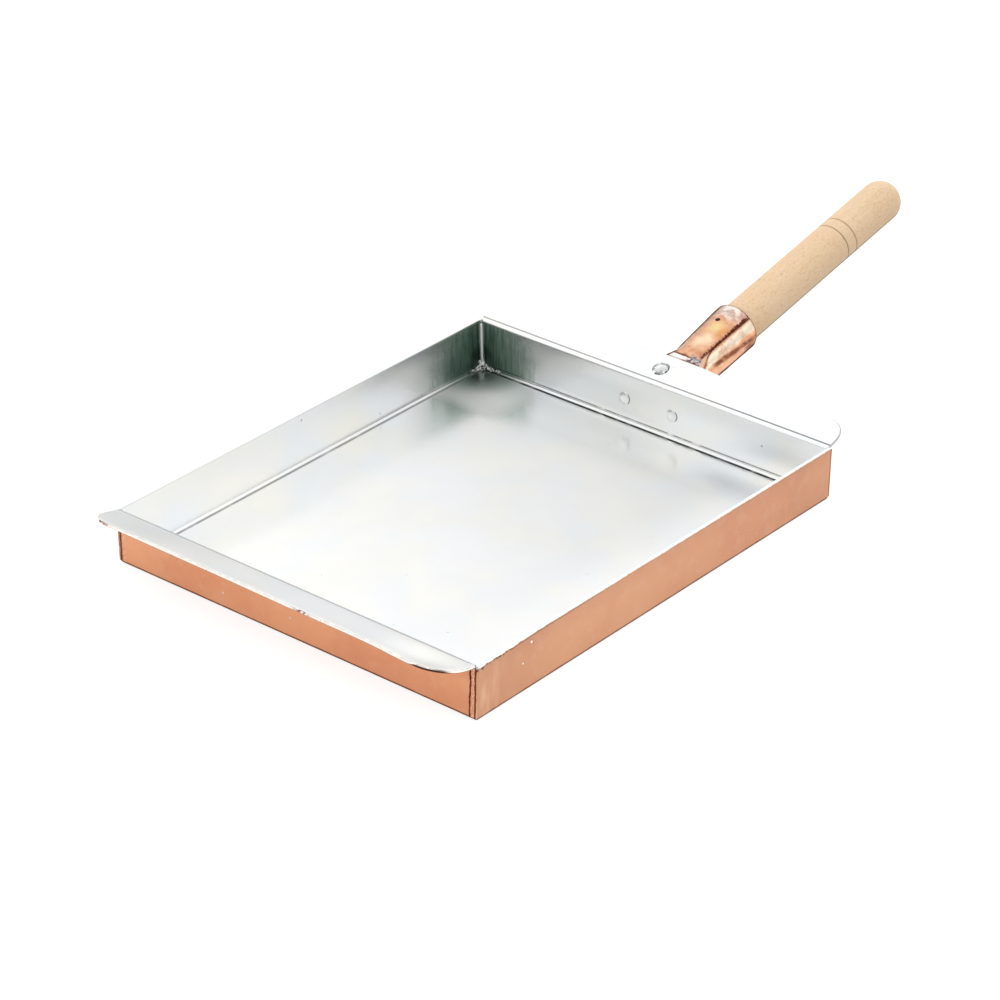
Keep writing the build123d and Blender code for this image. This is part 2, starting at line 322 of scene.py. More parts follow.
def rim_path(skin):
    """Section (out, z) over a bare rim, in as many points as the fold, flange and edge take."""
    low, high, top = skin["low"], skin["high"], body_height
    up, over, middle = fold_count + 1, across_count, len(edge_path(skin))
    if low == 0:
        stretches = [
            line((0, wall_top), (0, top - rim_round), up),
            arc(-rim_round, top - rim_round, rim_round, 0, 90, over),
            line((-rim_round, top), (rim_round - high, top), middle),
            arc(rim_round - high, top - rim_round, rim_round, 90, 180, over),
            line((-high, top - rim_round), (-high, wall_top), up),
        ]
    else:
        film, under = high - low, top - tin_bite
        stretches = [
            line((-low, wall_top), (-low, under), up),
            line((-low, under), (0, under), over),
            arc(-film, under, film, 0, 90, middle),
            line((-film, under + film), (-low, under + film), over),
            line((-high, top - 0.1), (-high, wall_top), up),
        ]
    return np.concatenate(stretches)


def wall_rows(skin):
    """Section (out, z) of the base bend and the wall, below the fold, outside and inside."""
    low, high = skin["low"], skin["high"]
    low_bend, high_bend = skin["low_bend"], skin["high_bend"]
    outside = [
        arc(-low - low_bend, low + low_bend, low_bend, -90, 0, 7),
        line((-low, low + low_bend), (-low, wall_top), 15)[1:-1],
    ]
    inside = [
        line((-high, wall_top), (-high, high + high_bend), 17)[1:-1],
        arc(-high - high_bend, high + high_bend, high_bend, 0, -90, 8),
    ]
    return np.concatenate(outside), np.concatenate(inside)


def side_reach(section):
    """Half the pan's width at each point (out, z) of a section: the side walls lean outwards."""
    lean = side_wall_lean * (1 - np.clip(section[:, 1] / body_height, 0, 1))
    return (half_width + section[:, 0] - lean)[:, None]


print("rows over a rim, copper and tin:", [len(rim_path(skin)) for skin in (copper_skin, tin_skin)])

# %% [markdown]
# An end wall with its flange is worked out column by column from the flange's outline: every
# column runs straight up the wall and then straight across the flange to its own point of the
# outline. The few columns beyond the flange's ends go over the rim and round the pan's corner.

# %% End wall with its flange
def flange_rows(flange, skin, outline, normal, at_wall):
    """Rows (x, out, z) from the wall's top over a flange and back, at a flange's own columns.

    On the flange a point is (1 - s) fold + s edge, for a share s that grows along the row.
    """
    edge = edge_path(skin)

    def folded(depth, scale):
        """The start of the fold on the wall, then the fold's arc."""
        path = np.concatenate([[(-depth, wall_top)], fold_points(flange, depth, fold_count)])
        flat = np.ones(len(at_wall))
        return np.stack([at_wall * scale[:, None], path[:, :1] * flat, path[:, 1:] * flat], -1)

    def across(depth, inset, start, count):
        """Rows from the fold's last row to the outline, taken in by an inset."""
        edge_point = outline - inset * normal
        out_z = on_flange(flange, depth, edge_point[:, 1])
        goal = np.concatenate([edge_point[:, :1], out_z], -1)
        share = np.linspace(0, 1, count)[:, None, None]
        return (1 - share) * start + share * goal

    narrow = 1 - (skin["high"] + side_wall_lean * (1 - wall_top / body_height)) / flange_half_width
    low_fold = folded(skin["low"], np.ones(fold_count + 1))
    high_fold = folded(skin["high"], np.linspace(narrow, 1, fold_count + 1))
    under = across(skin["low"], edge[0, 0], low_fold[-1], across_count)
    top = across(skin["high"], edge[-1, 0], high_fold[-1], across_count)[::-1]
    cut = np.concatenate([across(depth, inset, low_fold[-1], 2)[-1:] for inset, depth in edge])
    return np.concatenate([low_fold, under, cut, top, high_fold[::-1]])


def end_wall(flange, skin):
    """Points of an end wall and its flange, shaped (rows, columns, 3), from left to right.

    At the wall, the columns that go to a rounded corner spread over its radius and 5 mm more.
    """
    outline, normal = flange_outline(flange)
    last = len(outline) - 1
    turn_end = side_count + turn_count - 2
    left_start = flange_half_width - flange["left"] - 5
    right_start = flange_half_width - flange["right"] - 5
    knots = [0, turn_end, last - turn_end, last]
    places = [-flange_half_width, -left_start, right_start, flange_half_width]
    at_wall = np.interp(np.arange(last + 1), knots, places)
    outside, inside = wall_rows(skin)
    rim = rim_path(skin)
    section = np.concatenate([outside, rim, inside])
    reach = side_reach(section)
    points = np.empty((len(section), len(at_wall) + 2 * len(along_rim), 3))
    ends = len(along_rim)
    for columns, sign, order in ((slice(0, ends), -1, 1), (slice(-ends, None), 1, -1)):
        points[:, columns, 0] = sign * (reach - along_rim[::order])
        points[:, columns, 1] = section[:, :1] - into_rim[::order]
        points[:, columns, 2] = section[:, 1:]
    middle = points[:, ends:-ends]
    middle[..., 0] = at_wall * (reach - plan_round - 0.1) / flange_half_width
    middle[..., 1] = section[:, :1]
    middle[..., 2] = section[:, 1:]
    middle[len(outside):-len(inside)] = flange_rows(flange, skin, outline, normal, at_wall)
    points[..., 1] = flange["side"] * (wall_face + points[..., 1])
    return points


print("front wall and flange are a grid of", end_wall(front, copper_skin).shape[:2], "points")

# %% [markdown]
# The side walls have the same rows, so their ends meet the end walls point for point. The floor
# and the underside are patches between the four walls. A Coons patch fills such a frame from
# its four border lines alone, so no point has to be placed by hand.

# %% Side walls, floor and the whole tray
def side_wall(side, skin, count=110):
    """Points of a side wall, shaped (rows, columns, 3), from front to rear."""
    outside, inside = wall_rows(skin)
    section = np.concatenate([outside, rim_path(skin), inside])
    end = (wall_face + section[:, 0])[:, None]
    middle = np.linspace(-1, 1, count)[1:-1] * (end - 1.1)
    y = np.concatenate([along_rim - end, middle, end - along_rim[::-1]], axis=1)
    gap = np.concatenate([into_rim, np.zeros(count - 2), into_rim[::-1]])
    x = side * (side_reach(section) - gap)
    return np.stack([x, y, np.broadcast_to(section[:, 1:], x.shape)], -1)


def coons_patch(front_row, rear_row, left_column, right_column):
    """Surface in four border lines: the two blends of facing lines, less the corners' blend."""
    s = np.linspace(0, 1, front_row.shape[0])[None, :, None]
    t = np.linspace(0, 1, left_column.shape[0])[:, None, None]
    lines = (1 - t) * front_row[None] + t * rear_row[None]
    lines = lines + (1 - s) * left_column[:, None] + s * right_column[:, None]
    corners = (1 - t) * ((1 - s) * front_row[0] + s * front_row[-1])
    corners = corners + t * ((1 - s) * rear_row[0] + s * rear_row[-1])
    return lines - corners


def tray(skin):
    """Grids of the closed tray: its four walls, and the two patches of its floor."""
    walls = [end_wall(front, skin), end_wall(rear, skin), side_wall(-1, skin), side_wall(1, skin)]
    patches = [coons_patch(*[wall[row] for wall in walls]) for row in (0, -1)]
    return [settle(grid) for grid in (*walls, *patches)]


def cut_paint(skin):
    """From 0.3 at the bottom of the sheared edges to 1 at their top, 0 elsewhere."""
    first = len(wall_rows(skin)[0]) + fold_count + 1 + across_count
    up = np.linspace(0.3, 1, len(edge_path(skin)))[:, None]
    paints = [np.zeros(grid.shape[:2]) for grid in tray(skin)]
    for wall in (0, 1):
        paints[wall][first:first + len(up)] = up
    return paints


print("the copper tray's grids:", [grid.shape[:2] for grid in tray(copper_skin)])

# %% [markdown]
# At each corner the end of the side wall was wrapped round and soldered flat onto the end wall.
# These laps show as narrow strips with an uneven border, because the tab was snipped by eye. A
# strip is a flattened tube: a closed section carried up the corner, its inner border moving in
# and out as it goes.

# %% Laps at the corners
def lap_strip(end, side, width, seed):
    """Closed strip on an end wall's outer face, 0.4 mm proud and sunk 0.2 mm in.

    Across, the section is a box whose outer two corners are rounded: rise against span. Its
    inner border lies at width + ragged(z), two wanders with wavelengths from 9 and 1.7 mm.
    """
    z = np.linspace(base_radius, 24.2, 90)
    rise = np.array([-0.2, 0.0, 0.28, 0.37, 0.4, 0.4, 0.37, 0.28, 0.0, -0.2, -0.2])
    span = np.array([1.0, 1.0, 1.0, 0.97, 0.93, 0.06, 0.02, 0.0, 0.0, 0.0, 1.0])
    ragged = 0.22 * wander(z, 0, 9, seed) + 0.16 * wander(z, 0, 1.7, seed + 4)
    width = (width + ragged)[:, None]
    lean = (side_wall_lean * (1 - z / body_height))[:, None]
    dents = 0.05 * wander(z[:, None], 3 * span, 4, seed + 2)
    x = side * (half_width - lean - 0.02 - width * span)
    y = end * (wall_face + rise + np.where(rise > 0.3, dents - 0.05, 0))
    strip = np.stack([x, y, np.broadcast_to(z[:, None], x.shape)], -1)
    middle = np.broadcast_to(strip.mean(axis=1, keepdims=True), strip.shape)
    return settle(np.concatenate([middle[:1], strip, middle[-1:]]))


laps = [
    lap_strip(-1, -1, lap_width - front_left_narrower, 1),
    lap_strip(-1, 1, lap_width, 4),
    lap_strip(1, -1, lap_width, 2),
    lap_strip(1, 1, lap_width, 6),
]
copper_paint = [*cut_paint(copper_skin), *[np.zeros(lap.shape[:2]) for lap in laps]]
pan_sheet = mesh_piece("pan_sheet_copper", *tray(copper_skin), *laps, paint=copper_paint)
tin_lining = mesh_piece("tin_lining_wiped", *tray(tin_skin), sharp=50)

# %% [markdown]
# Solder was run up each inner corner and along the seams at its foot. It froze as a lumpy bead
# with a rough blob at the bottom. The bead is a tube whose section is clipped so that its back
# lies inside the walls, and the blob is a lumpy ball clipped the same way.

# %% Corner solder
def lumps(along, angle, size, seed):
    """Uneven value between -1 and 1 over a small tube or ball: two wanders multiplied."""
    around = wander(3 * np.cos(angle), 3 * np.sin(angle) + along / size, 2.2, seed)
    return 0.6 * around + 0.4 * wander(along / size, angle, 1.1, seed + 2)


def bead(start, end, radius, rough, taper, first, second, seed):
    """Lumpy tube from start to end: radius (1 + rough * lumps) (1 - taper * share).

    It closes to a point at both ends, and is held within 0.5 mm behind the two faces whose
    inward normals are first and second.
    """
    start, end, first, second = (np.array(v, float) for v in (start, end, first, second))
    length = np.linalg.norm(end - start)
    share = np.linspace(0, 1, 70)[:, None]
    angle = np.linspace(0, 2 * pi, 25)[None, :]
    ends = np.sqrt(np.clip(1 - np.abs(2 * share - 1) ** 12, 0, 1))
    swell = radius * ends * (1 + rough * lumps(share * length, angle, 1.4, seed))
    swell = swell * (1 - taper * share)
    grid = start + (end - start) * share[..., None]
    for turned_by, normal in ((np.cos(angle), first), (np.sin(angle), second)):
        off_line = np.maximum(0.25 * radius + swell * turned_by, -0.5 * ends)
        grid = grid + off_line[..., None] * normal
    grid[:, -1] = grid[:, 0]
    return grid


def blob(corner, inward, radius, seed):
    """Lumpy ball round a corner of the pan, held within 0.5 mm behind its three faces."""
    turn = np.linspace(0, 2 * pi, 61)[None, :]
    rise = np.linspace(-pi / 2, pi / 2, 41)[:, None]
    swell = radius * (1 + 0.5 * lumps(4 * rise, turn, 1.0, seed))
    flat = np.cos(rise)
    ball = np.stack([np.cos(turn) * flat, np.sin(turn) * flat, np.sin(rise) + 0 * turn], -1)
    ball = np.maximum(0.3 + swell[..., None] * ball, -0.5)
    ball[:, -1] = ball[:, 0]
    ball[0], ball[-1] = ball[0, :1], ball[-1, :1]
    return np.array(corner) + ball * np.array(inward)


def corner_solder_grids(end, side, rough):
    """Bead up one corner, a run along the seam each way, and the blob where they meet."""
    foot = half_width - side_wall_lean - lined
    rim = half_width - lined
    y = end * (wall_face - lined)
    inward_x, inward_y, up = (-side, 0, 0), (0, -end, 0), (0, 0, 1)
    seed = 5 + 2 * side + end
    low = (side * foot, y, lined)
    top = (side * rim, y, 23.4)
    along_end = (side * (foot - 6 - 6 * rough), y, lined)
    along_side = (side * foot, y - end * (3 + 7 * rough), lined)
    return [
        bead(low, top, 0.66 + 0.42 * rough, 0.05, 0.15, inward_x, inward_y, seed),
        bead(low, along_end, 0.7 + 0.85 * rough, 0.7, 0.75, inward_y, up, seed + 1),
        bead(low, along_side, 0.6 + 0.7 * rough, 0.6, 0.6, inward_x, up, seed + 2),
        blob(low, (-side, -end, 1), 1.1 + 2.1 * rough, seed + 3),
    ]


# The far left corner is the roughest.
solder_grids = []
for end, side, rough in ((1, -1, 1.0), (1, 1, 0.35), (-1, -1, 0.5), (-1, 1, 0.4)):
    solder_grids += [settle(grid) for grid in corner_solder_grids(end, side, rough)]
corner_solder = mesh_piece("corner_solder_beads", *solder_grids, sharp=70)

# %% [markdown]
# Three rivets hold the socket: two through the rear wall and one through the rear flange. A
# rivet is a turned shape, so its grid is a profile carried round an axis. The hammer leaves a
# head that is a little off round, and a dished ring where it drove the sheet down.

# %% Rivets
shank = 1.6
sideways = np.array([1.0, 0.0, 0.0])
cap_share = np.sqrt(np.linspace(0, 1, 28))


def rivet_grid(centre, out, head, brim, tail, held, seed):
    """Closed rivet from a profile (r, t): t runs out of the head, r is the distance from the axis.

    Head and tail are (radius, rise, power) caps of height rise (1 - (r / radius)^power), and
    held is the thickness between them. A head with a brim has its dome on the inner 72 per
    cent, and the flat brim round it.
    """
    share = cap_share
    head_r, head_rise, head_power = head
    tail_r, tail_rise, tail_power = tail
    over = np.stack([head_r * share, head_rise * (1 - share**head_power)], -1)
    if brim:
        dome = head_rise * (1 - (share / 0.72) ** 2.4)
        over[:, 1] = np.maximum(dome, brim * np.sqrt(np.clip(1 - share**12, 0, 1)))
    back = share[::-1]
    under = np.stack([tail_r * back, -held - tail_rise * (1 - back**tail_power)], -1)
    body = np.array([(head_r, -0.04), (shank, -0.05), (shank, -held), (tail_r, -held)])
    profile = np.concatenate([over, body, under])
    angle = np.linspace(0, 2 * pi, 49)[None, :, None]
    centre, out = np.array(centre, float), np.array(out, float)
    across = np.cross(out, sideways)
    r = profile[:, None, :1] * (1 + 0.035 * wander(3 * np.cos(angle), 3 * np.sin(angle), 3.5, seed))
    t = profile[:, None, 1:] * (1 + 0.06 * wander(r * np.cos(angle), r * np.sin(angle), 3, seed))
    grid = centre + r * (np.cos(angle) * sideways + np.sin(angle) * across) + t * out
    grid[:, -1] = grid[:, 0]
    return grid


def rivet_paint(grid):
    """How far out each point of a rivet's head lies, as a share of its radius; -1 on the tail."""
    rows = np.full(grid.shape[0], -1.0)
    rows[:len(cap_share) + 1] = np.append(cap_share, 1.05)
    return np.broadcast_to(rows[:, None], grid.shape[:2])


wall_rivet_height, wall_rivet_reach = body_height - 12.5, 13.2
wall_rivet_grids = [
    rivet_grid(
        centre=(side * wall_rivet_reach, wall_face - lined, wall_rivet_height),
        out=(0, -1, 0),
        head=(3.0, 0.42, 3),
        brim=0.0,
        tail=(2.7, 1.1, 2.4),
        held=lined + 1.0,
        seed=4 + side,
    )
    for side in (-1, 1)
]
paints = [rivet_paint(grid) for grid in wall_rivet_grids]
wall_rivets = mesh_piece("wall_rivets_hammered", *wall_rivet_grids, paint=paints)
flange_up = np.array([0, -sin(rear["tilt"]), cos(rear["tilt"])])
rivet_out, rivet_z = on_flange(rear, lined, np.array(7.7))
flange_grid = rivet_grid(
    centre=(0, wall_face + rivet_out, rivet_z),
    out=flange_up,
    head=(3.9, 1.3, 2.4),
    brim=0.3,
    tail=(3.2, 1.3, 2.4),
    held=2.35,
    seed=9,
)
flange_rivet = mesh_piece("flange_rivet_hammered", flange_grid, paint=[rivet_paint(flange_grid)])

# %% [markdown]
# The handle rises from the rear wall at 11.7 degrees. Its pieces are easiest to describe along
# that line: s is the distance from the wall, x is to the right and h is square to both. One
# function brings such points back into the pan's frame.

# %% The handle's own directions
handle_tilt = radians(11.7)
handle_height = body_height - 10.2
handle_start = np.array([0, wall_face, handle_height])
handle_along = np.array([0, cos(handle_tilt), sin(handle_tilt)])
handle_up = np.array([0, -sin(handle_tilt), cos(handle_tilt)])


def on_handle(s, x, h):
    """Point at s along the handle, x to the right and h up from it: start + s a + x r + h u."""
    s, x, h = np.broadcast_arrays(s, x, h)
    right = np.array([1.0, 0, 0])
    parts = s[..., None] * handle_along + x[..., None] * right + h[..., None] * handle_up
    return handle_start + parts


def flange_ceiling(s):
    """Height h of the rear flange's underside above the handle line, at s along it."""
    out, z = on_flange(rear, 0, np.array([0.0, rear["width"]])).T
    dy, dz = out, z - handle_height
    along = dy * cos(handle_tilt) + dz * sin(handle_tilt)
    up = dz * cos(handle_tilt) - dy * sin(handle_tilt)
    return up[0] + (s - along[0]) * (up[1] - up[0]) / (along[1] - along[0])


print("flange's underside above the handle line:", flange_ceiling(np.array([0.0, 17.8])).round(2))


def soft_least(a, b, blend):
    """The lesser of two values, rounded where they cross: (a + b - sqrt((a - b)^2 + c^2)) / 2."""
    return (a + b - np.sqrt((a - b) ** 2 + blend**2)) / 2


# %% [markdown]
# The socket is one copper sheet rolled into a tube. Its two edges meet in a seam on the upper
# right, which opens into a fork near the flange. There the upper leaf spreads and lies flat
# under the flange. A swept tube would stay closed and oval, so the skin is a function of the
# place along the handle and of the share of the way round, from one edge to the other.

# %% Handle socket
socket_reach, socket_sheet = 63.4, 1.0
seam_degrees = 45
seam_angle = radians(seam_degrees)
stretches = ((0.05, 3, 8), (3.5, 30, 54), (30.7, socket_reach - 0.35, 46))
socket_rows = np.concatenate([np.linspace(*stretch) for stretch in stretches])
# How far the seam opens at its lower side, in degrees, at places along the handle.
fork_places = [22, 24, 27, 28.5, 30, 31.5, 33, 36, 38]
fork_degrees = [42, 35, 27, 21, 15, 10, 6, 1.6, 0.7]


def socket_skin(s, share, inset):
    """Points of the socket's skin at an inset into the sheet, for shares from seam to seam.

    An oval section, 9.5 to 11.7 mm across its half width, with a hollow on the upper left
    towards the wall and a lip beside it. The upper leaf, between -27 and 45 degrees, turns into
    a flat tab under the flange: (1 - w) oval + w tab. Near the wall the sections lean back, to
    stand upright on it. Angles are radians from the top towards the right.
    """
    s = s[:, None]
    lean_back = 10.8 * np.cos(seam_angle - 2 * pi * share) * tan(handle_tilt)
    s = s + lean_back * smooth_step(24, 0, s)
    edge_sway = 0.018 * wander(s, 0, 13, 3) + 0.012 * wander(s, 0, 3.1, 6)
    open_left = 0.01 - 0.06 * smooth_step(33, 24, s)
    open_right = np.radians(np.interp(s, fork_places, fork_degrees))
    start = seam_angle + edge_sway - open_left
    finish = seam_angle + edge_sway + open_right - 2 * pi
    angle = start + (finish - start) * share
    knots, hollow_angle = [-3, 17.4, 36, 64], -0.82
    half_wide = np.interp(s, knots, [9.5, 10.8, 11.7, 11.7])
    half_high = np.interp(s, knots, [10.8, 11.5, 11.7, 11.7])
    hollow = 2.0 * bump_at(angle, hollow_angle, 0.75)
    hollow = hollow * np.clip((60 - s) / 33, 0, 1) * smooth_step(2, 14, s)
    dents = 0.16 * wander(s, 11.7 * angle, 17, 4) * smooth_step(64, 50, s)
    dents = 0.05 + dents * (1 - bump_at(angle, hollow_angle, 0.5))
    flare = 1.6 * np.exp(-np.clip(s - lean_back, 0, 50) / 1.3)
    reach = flare - hollow - dents - inset
    x = (half_wide + reach) * np.sin(angle)
    h = (half_high + reach) * np.cos(angle)
    ceiling = flange_ceiling(s) - 0.06 - inset
    lip = 2.9 * bump_at(angle, -0.58, 0.32) * np.clip((28 - s) / 8, 0, 1)
    h = h + lip
    tab_x = -4.6 + (angle + 0.47) / (seam_angle + 0.47) * 16.4
    flat = smooth_step(31, 21, s) * smooth_step(-0.6, 0.0, angle)
    x = (1 - flat) * x + flat * tab_x
    h = (1 - flat) * h + flat * (ceiling + 0.3)
    over = smooth_step(-0.05, -0.3, angle)
    limit = ceiling + 6 * smooth_step(0, 6, s - 23 + 3.5 * over)
    return on_handle(s, x, soft_least(h, limit, 0.35))


crown = socket_skin(np.array([40.0]), np.array([0.0, 0.5, 1.0]), 0.0)[0]
print("seam, underside and seam at 40 mm:", crown.round(2).tolist())

# %% [markdown]
# Sheet has a thickness, which shows at its cut edges. The grid's columns run round the outside
# and back on the inside, with a few across each edge, so all of it is one closed surface. The
# first and last rings meet in the middle of the sheet.

# %% Socket: the closed sheet
outer_share = np.linspace(0, 1, 121)
inner_share = np.linspace(1, 0, 121)
edge_steps = np.array([0.12, 0.5, 0.88])


def socket_ring(s, inset_out, inset_in):
    """Closed ring of the sheet at places s: outside, far edge, inside, near edge."""
    outside = socket_skin(s, outer_share, inset_out)
    inside = socket_skin(s, inner_share, inset_in)
    steps = inset_out + (inset_in - inset_out) * edge_steps
    far = [socket_skin(s, outer_share[-1:], inset) for inset in steps]
    near = [socket_skin(s, outer_share[:1], inset) for inset in steps[::-1]]
    return np.concatenate([outside, *far, inside, *near, outside[:, :1]], axis=1)


mouth = np.array([socket_reach - 0.1, socket_reach])
foot = np.array([0.04])
socket_grid = np.concatenate(
    [
        socket_ring(foot, 0.5, 0.5),
        socket_ring(socket_rows, 0.0, socket_sheet),
        socket_ring(mouth[:1], 0.12, socket_sheet - 0.12),
        socket_ring(mouth[1:], 0.34, socket_sheet - 0.34),
        socket_ring(mouth[1:], 0.5, 0.5),
    ]
)
print("the socket's surface is a grid of", socket_grid.shape[:2], "points")

# %% [markdown]
# Two more parts belong to the socket: the edge that is tucked under the right leaf and shows
# through the fork, and the ears that lie flat on the rear wall. Each is a simple closed surface
# that reaches into the tube, so the three make one piece.

# %% Socket: tucked edge and ears
def tucked_edge():
    """The sheet's edge tucked under the right leaf, seen through the fork: a curved strip.

    Its section is half a millimetre thick, from 22 to 100 degrees, at radius 10.1 to 10.6.
    """
    s = np.concatenate([[4.0], np.linspace(4, 39, 60), [39.0]])[:, None]
    share = np.concatenate([np.linspace(0, 1, 30), np.linspace(1, 0, 30), [0]])[None, :]
    thick = np.concatenate([np.zeros(30), np.full(30, 0.5), [0]])[None, :]
    sway = 0.04 * wander(s, 0, 8, 2)
    angle = radians(22) + radians(78) * share + sway * (1 - share)
    radius = np.interp(s, [0, 17, 36], [9.0, 9.9, 10.55]) - thick
    radius = radius - 0.12 - 0.1 * wander(s, 10 * angle, 6, 5)
    x, h = radius * np.sin(angle), radius * np.cos(angle)
    grid = on_handle(s, x, np.minimum(h, flange_ceiling(s) - 1.2 - thick))
    grid[0], grid[-1] = grid[1].mean(axis=0), grid[-2].mean(axis=0)
    return grid


def ear_plate(seed):
    """Plate of both ears on the rear wall: a rounded rectangle 39 by 12.6 mm, 1 mm thick.

    Its outline is a superellipse |x / a|^5 + |z / b|^3 = 1, and rows go from its back, round
    the edge, to the middle of its front, which is dented like the sheet.
    """
    angle = np.linspace(0, 2 * pi, 121)[None, :]
    share = np.array([0.0, 0.5, 0.97, 1.0, 1.0, 0.985, 0.95, 0.8, 0.6, 0.4, 0.2, 0.0])[:, None]
    rise = np.array([0.0, 0.0, 0.0, 0.12, 0.8, 0.95, 1.0, 1.0, 1.0, 1.0, 1.0, 1.0])[:, None]
    across = np.sign(np.cos(angle)) * np.abs(np.cos(angle)) ** 0.4
    upward = np.sign(np.sin(angle)) * np.abs(np.sin(angle)) ** 0.6
    off_true = 1 + 0.012 * wander(20 * np.cos(angle), 6 * np.sin(angle), 9, seed)
    x = 19.5 * share * across * off_true
    z = wall_rivet_height + 6.3 * share * upward * off_true
    dents = np.where(rise > 0.9, 0.06 * wander(x, z, 8, seed + 1) - 0.06, 0)
    y = wall_face + rise + dents + 0 * x
    grid = np.stack([x, y, z], -1)
    grid[:, -1] = grid[:, 0]
    return grid


socket_grids = [socket_grid, tucked_edge(), ear_plate(3)]
handle_socket = mesh_piece("handle_socket_rolled", *socket_grids, sharp=40)

# %% [markdown]
# The nail's hole goes through the socket's top. A grid has no holes, so this one is cut out:
# a round cutter is subtracted by a Boolean modifier, and the result becomes the piece's mesh.

# %% Nail hole
nail_place, nail_top, nail_length = 51.5, 11.3, 12.0


def turned(profile, count=33):
    """Surface turned about the nail's line from a profile of (radius, height) pairs."""
    angle = np.linspace(0, 2 * pi, count)[None, :]
    r, h = np.array(profile)[:, :1], np.array(profile)[:, 1:]
    grid = on_handle(nail_place + r * np.cos(angle), r * np.sin(angle), h + 0 * angle)
    grid[:, -1] = grid[:, 0]
    return grid


def drill(piece, grid):
    """Subtracts the solid inside a closed grid from a piece."""
    cutter = mesh_piece("cutter", grid)
    cut = piece.modifiers.new("hole", "BOOLEAN")
    cut.object = cutter
    cut.operation = "DIFFERENCE"
    cut.solver = "EXACT"
    solved = piece.evaluated_get(bpy.context.evaluated_depsgraph_get())
    drilled = bpy.data.meshes.new_from_object(solved)
    piece.modifiers.clear()
    old = piece.data
    piece.data = drilled
    bpy.data.meshes.remove(old)
    bpy.data.objects.remove(cutter)
    piece.data.set_sharp_from_angle(angle=radians(40))
    print(piece.name, "has", len(drilled.polygons), "faces after drilling")


hole_profile = [(0.0, 9.9), (1.15, 9.9), (1.15, 11.4), (1.3, 11.9), (1.3, 13.5), (0.0, 13.5)]
drill(handle_socket, turned(hole_profile))

# %% [markdown]
# The grip is turned from one piece of beech, with two fine grooves near a round end. Only the
# profile is needed, as a list of distances along the handle and radii. The lathe leaves the
# wood true, so its unevenness is a few hundredths of a millimetre, enough to break the sheen.

# %% Wooden grip
grip_radius, groove_places, dome_start = 9.95, (136.9, 143.4), 175.55


def groove(s, place):
    """Depth of a groove at s: 0.45 mm at its middle, gone 0.5 mm away, like a V with soft lips."""
    return 0.45 * np.clip(1 - np.abs(s - place) / 0.5, 0, 1) ** 1.3


straight = np.concatenate([np.linspace(27.2, 39.8, 12), np.linspace(40.2, 136, 60)])
fine = np.linspace(136, 144.4, 57)[1:]
rest = np.linspace(144.6, 175.4, 30)
dome_turn = np.radians(np.linspace(0, 90, 22))[1:]
dome_s = dome_start + 9.93 * np.sin(dome_turn)
grip_s = np.concatenate([[27.0], straight, fine, rest, dome_s])
grip_r = np.interp(grip_s, [27, 40, 80, 136, 176], [9.0, grip_radius, 9.93, 9.93, grip_radius])
grip_r = grip_r - sum(groove(grip_s, place) for place in groove_places)
grip_r[-len(dome_turn):] = grip_radius * np.cos(dome_turn)
grip_s = np.concatenate([[27.0], grip_s])
grip_r = np.concatenate([[0.0], grip_r])
grip_r[-1] = 0
around = np.linspace(0, 2 * pi, 97)[None, :]
off_round = 0.0022 * (wander(grip_s[:, None], 12 * np.sin(around), 30, 2) - 1)
true_r = grip_r[:, None] * (1 + off_round)
grip_grid = on_handle(grip_s[:, None], true_r * np.sin(around), true_r * np.cos(around))
grip_grid[:, -1] = grip_grid[:, 0]
grip = mesh_piece("wooden_grip_turned", grip_grid, sharp=28)

# %% [markdown]
# The nail that keeps the grip in the socket sits 0.4 mm below the copper, so it reads as a small
# dark hole. Its head is a low cap with a punched hollow, and its shank runs down into the wood.

# %% Nail
nail_profile = [
    (0.0, nail_top - 0.28),
    (0.45, nail_top - 0.22),
    (0.7, nail_top - 0.03),
    (0.9, nail_top),
    (1.06, nail_top - 0.08),
    (1.08, nail_top - 0.5),
    (0.8, nail_top - 0.9),
    (0.8, nail_top - nail_length + 2.2),
    (0.35, nail_top - nail_length + 0.6),
    (0.0, nail_top - nail_length),
]
nail = mesh_piece("handle_nail_punched", turned(nail_profile), sharp=45)

# %% [markdown]
# Each new piece stands for one node of the construction model and rides on the same body, the
# pan itself, since nothing on it moves. Each row also lists a slot: the finish's name in the
# part's record.

# %% Pieces and the nodes they stand for
for piece, node, slot in (
    (pan_sheet, "pan_sheet", "copper"),
    (tin_lining, "tin_lining", "tin"),
    (corner_solder, "corner_solder", "solder"),
    (wall_rivets, "wall_rivets", "tinned_copper"),
    (flange_rivet, "flange_rivet", "tinned_copper"),
    (handle_socket, "handle_socket", "copper"),
    (grip, "wooden_grip", "wood"),
    (nail, "handle_nail", "nail"),
):
    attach(piece, "root")
    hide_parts(node)
    print(piece.name, "stands for", node)

# %% [markdown]
# Shader maths reads best as plain formulas. A small class wraps a shader socket, so that
# writing 1 - mask or a * b adds the Math nodes. The alternative, one call per node and link,
# takes four lines for each operation and hides the formula.

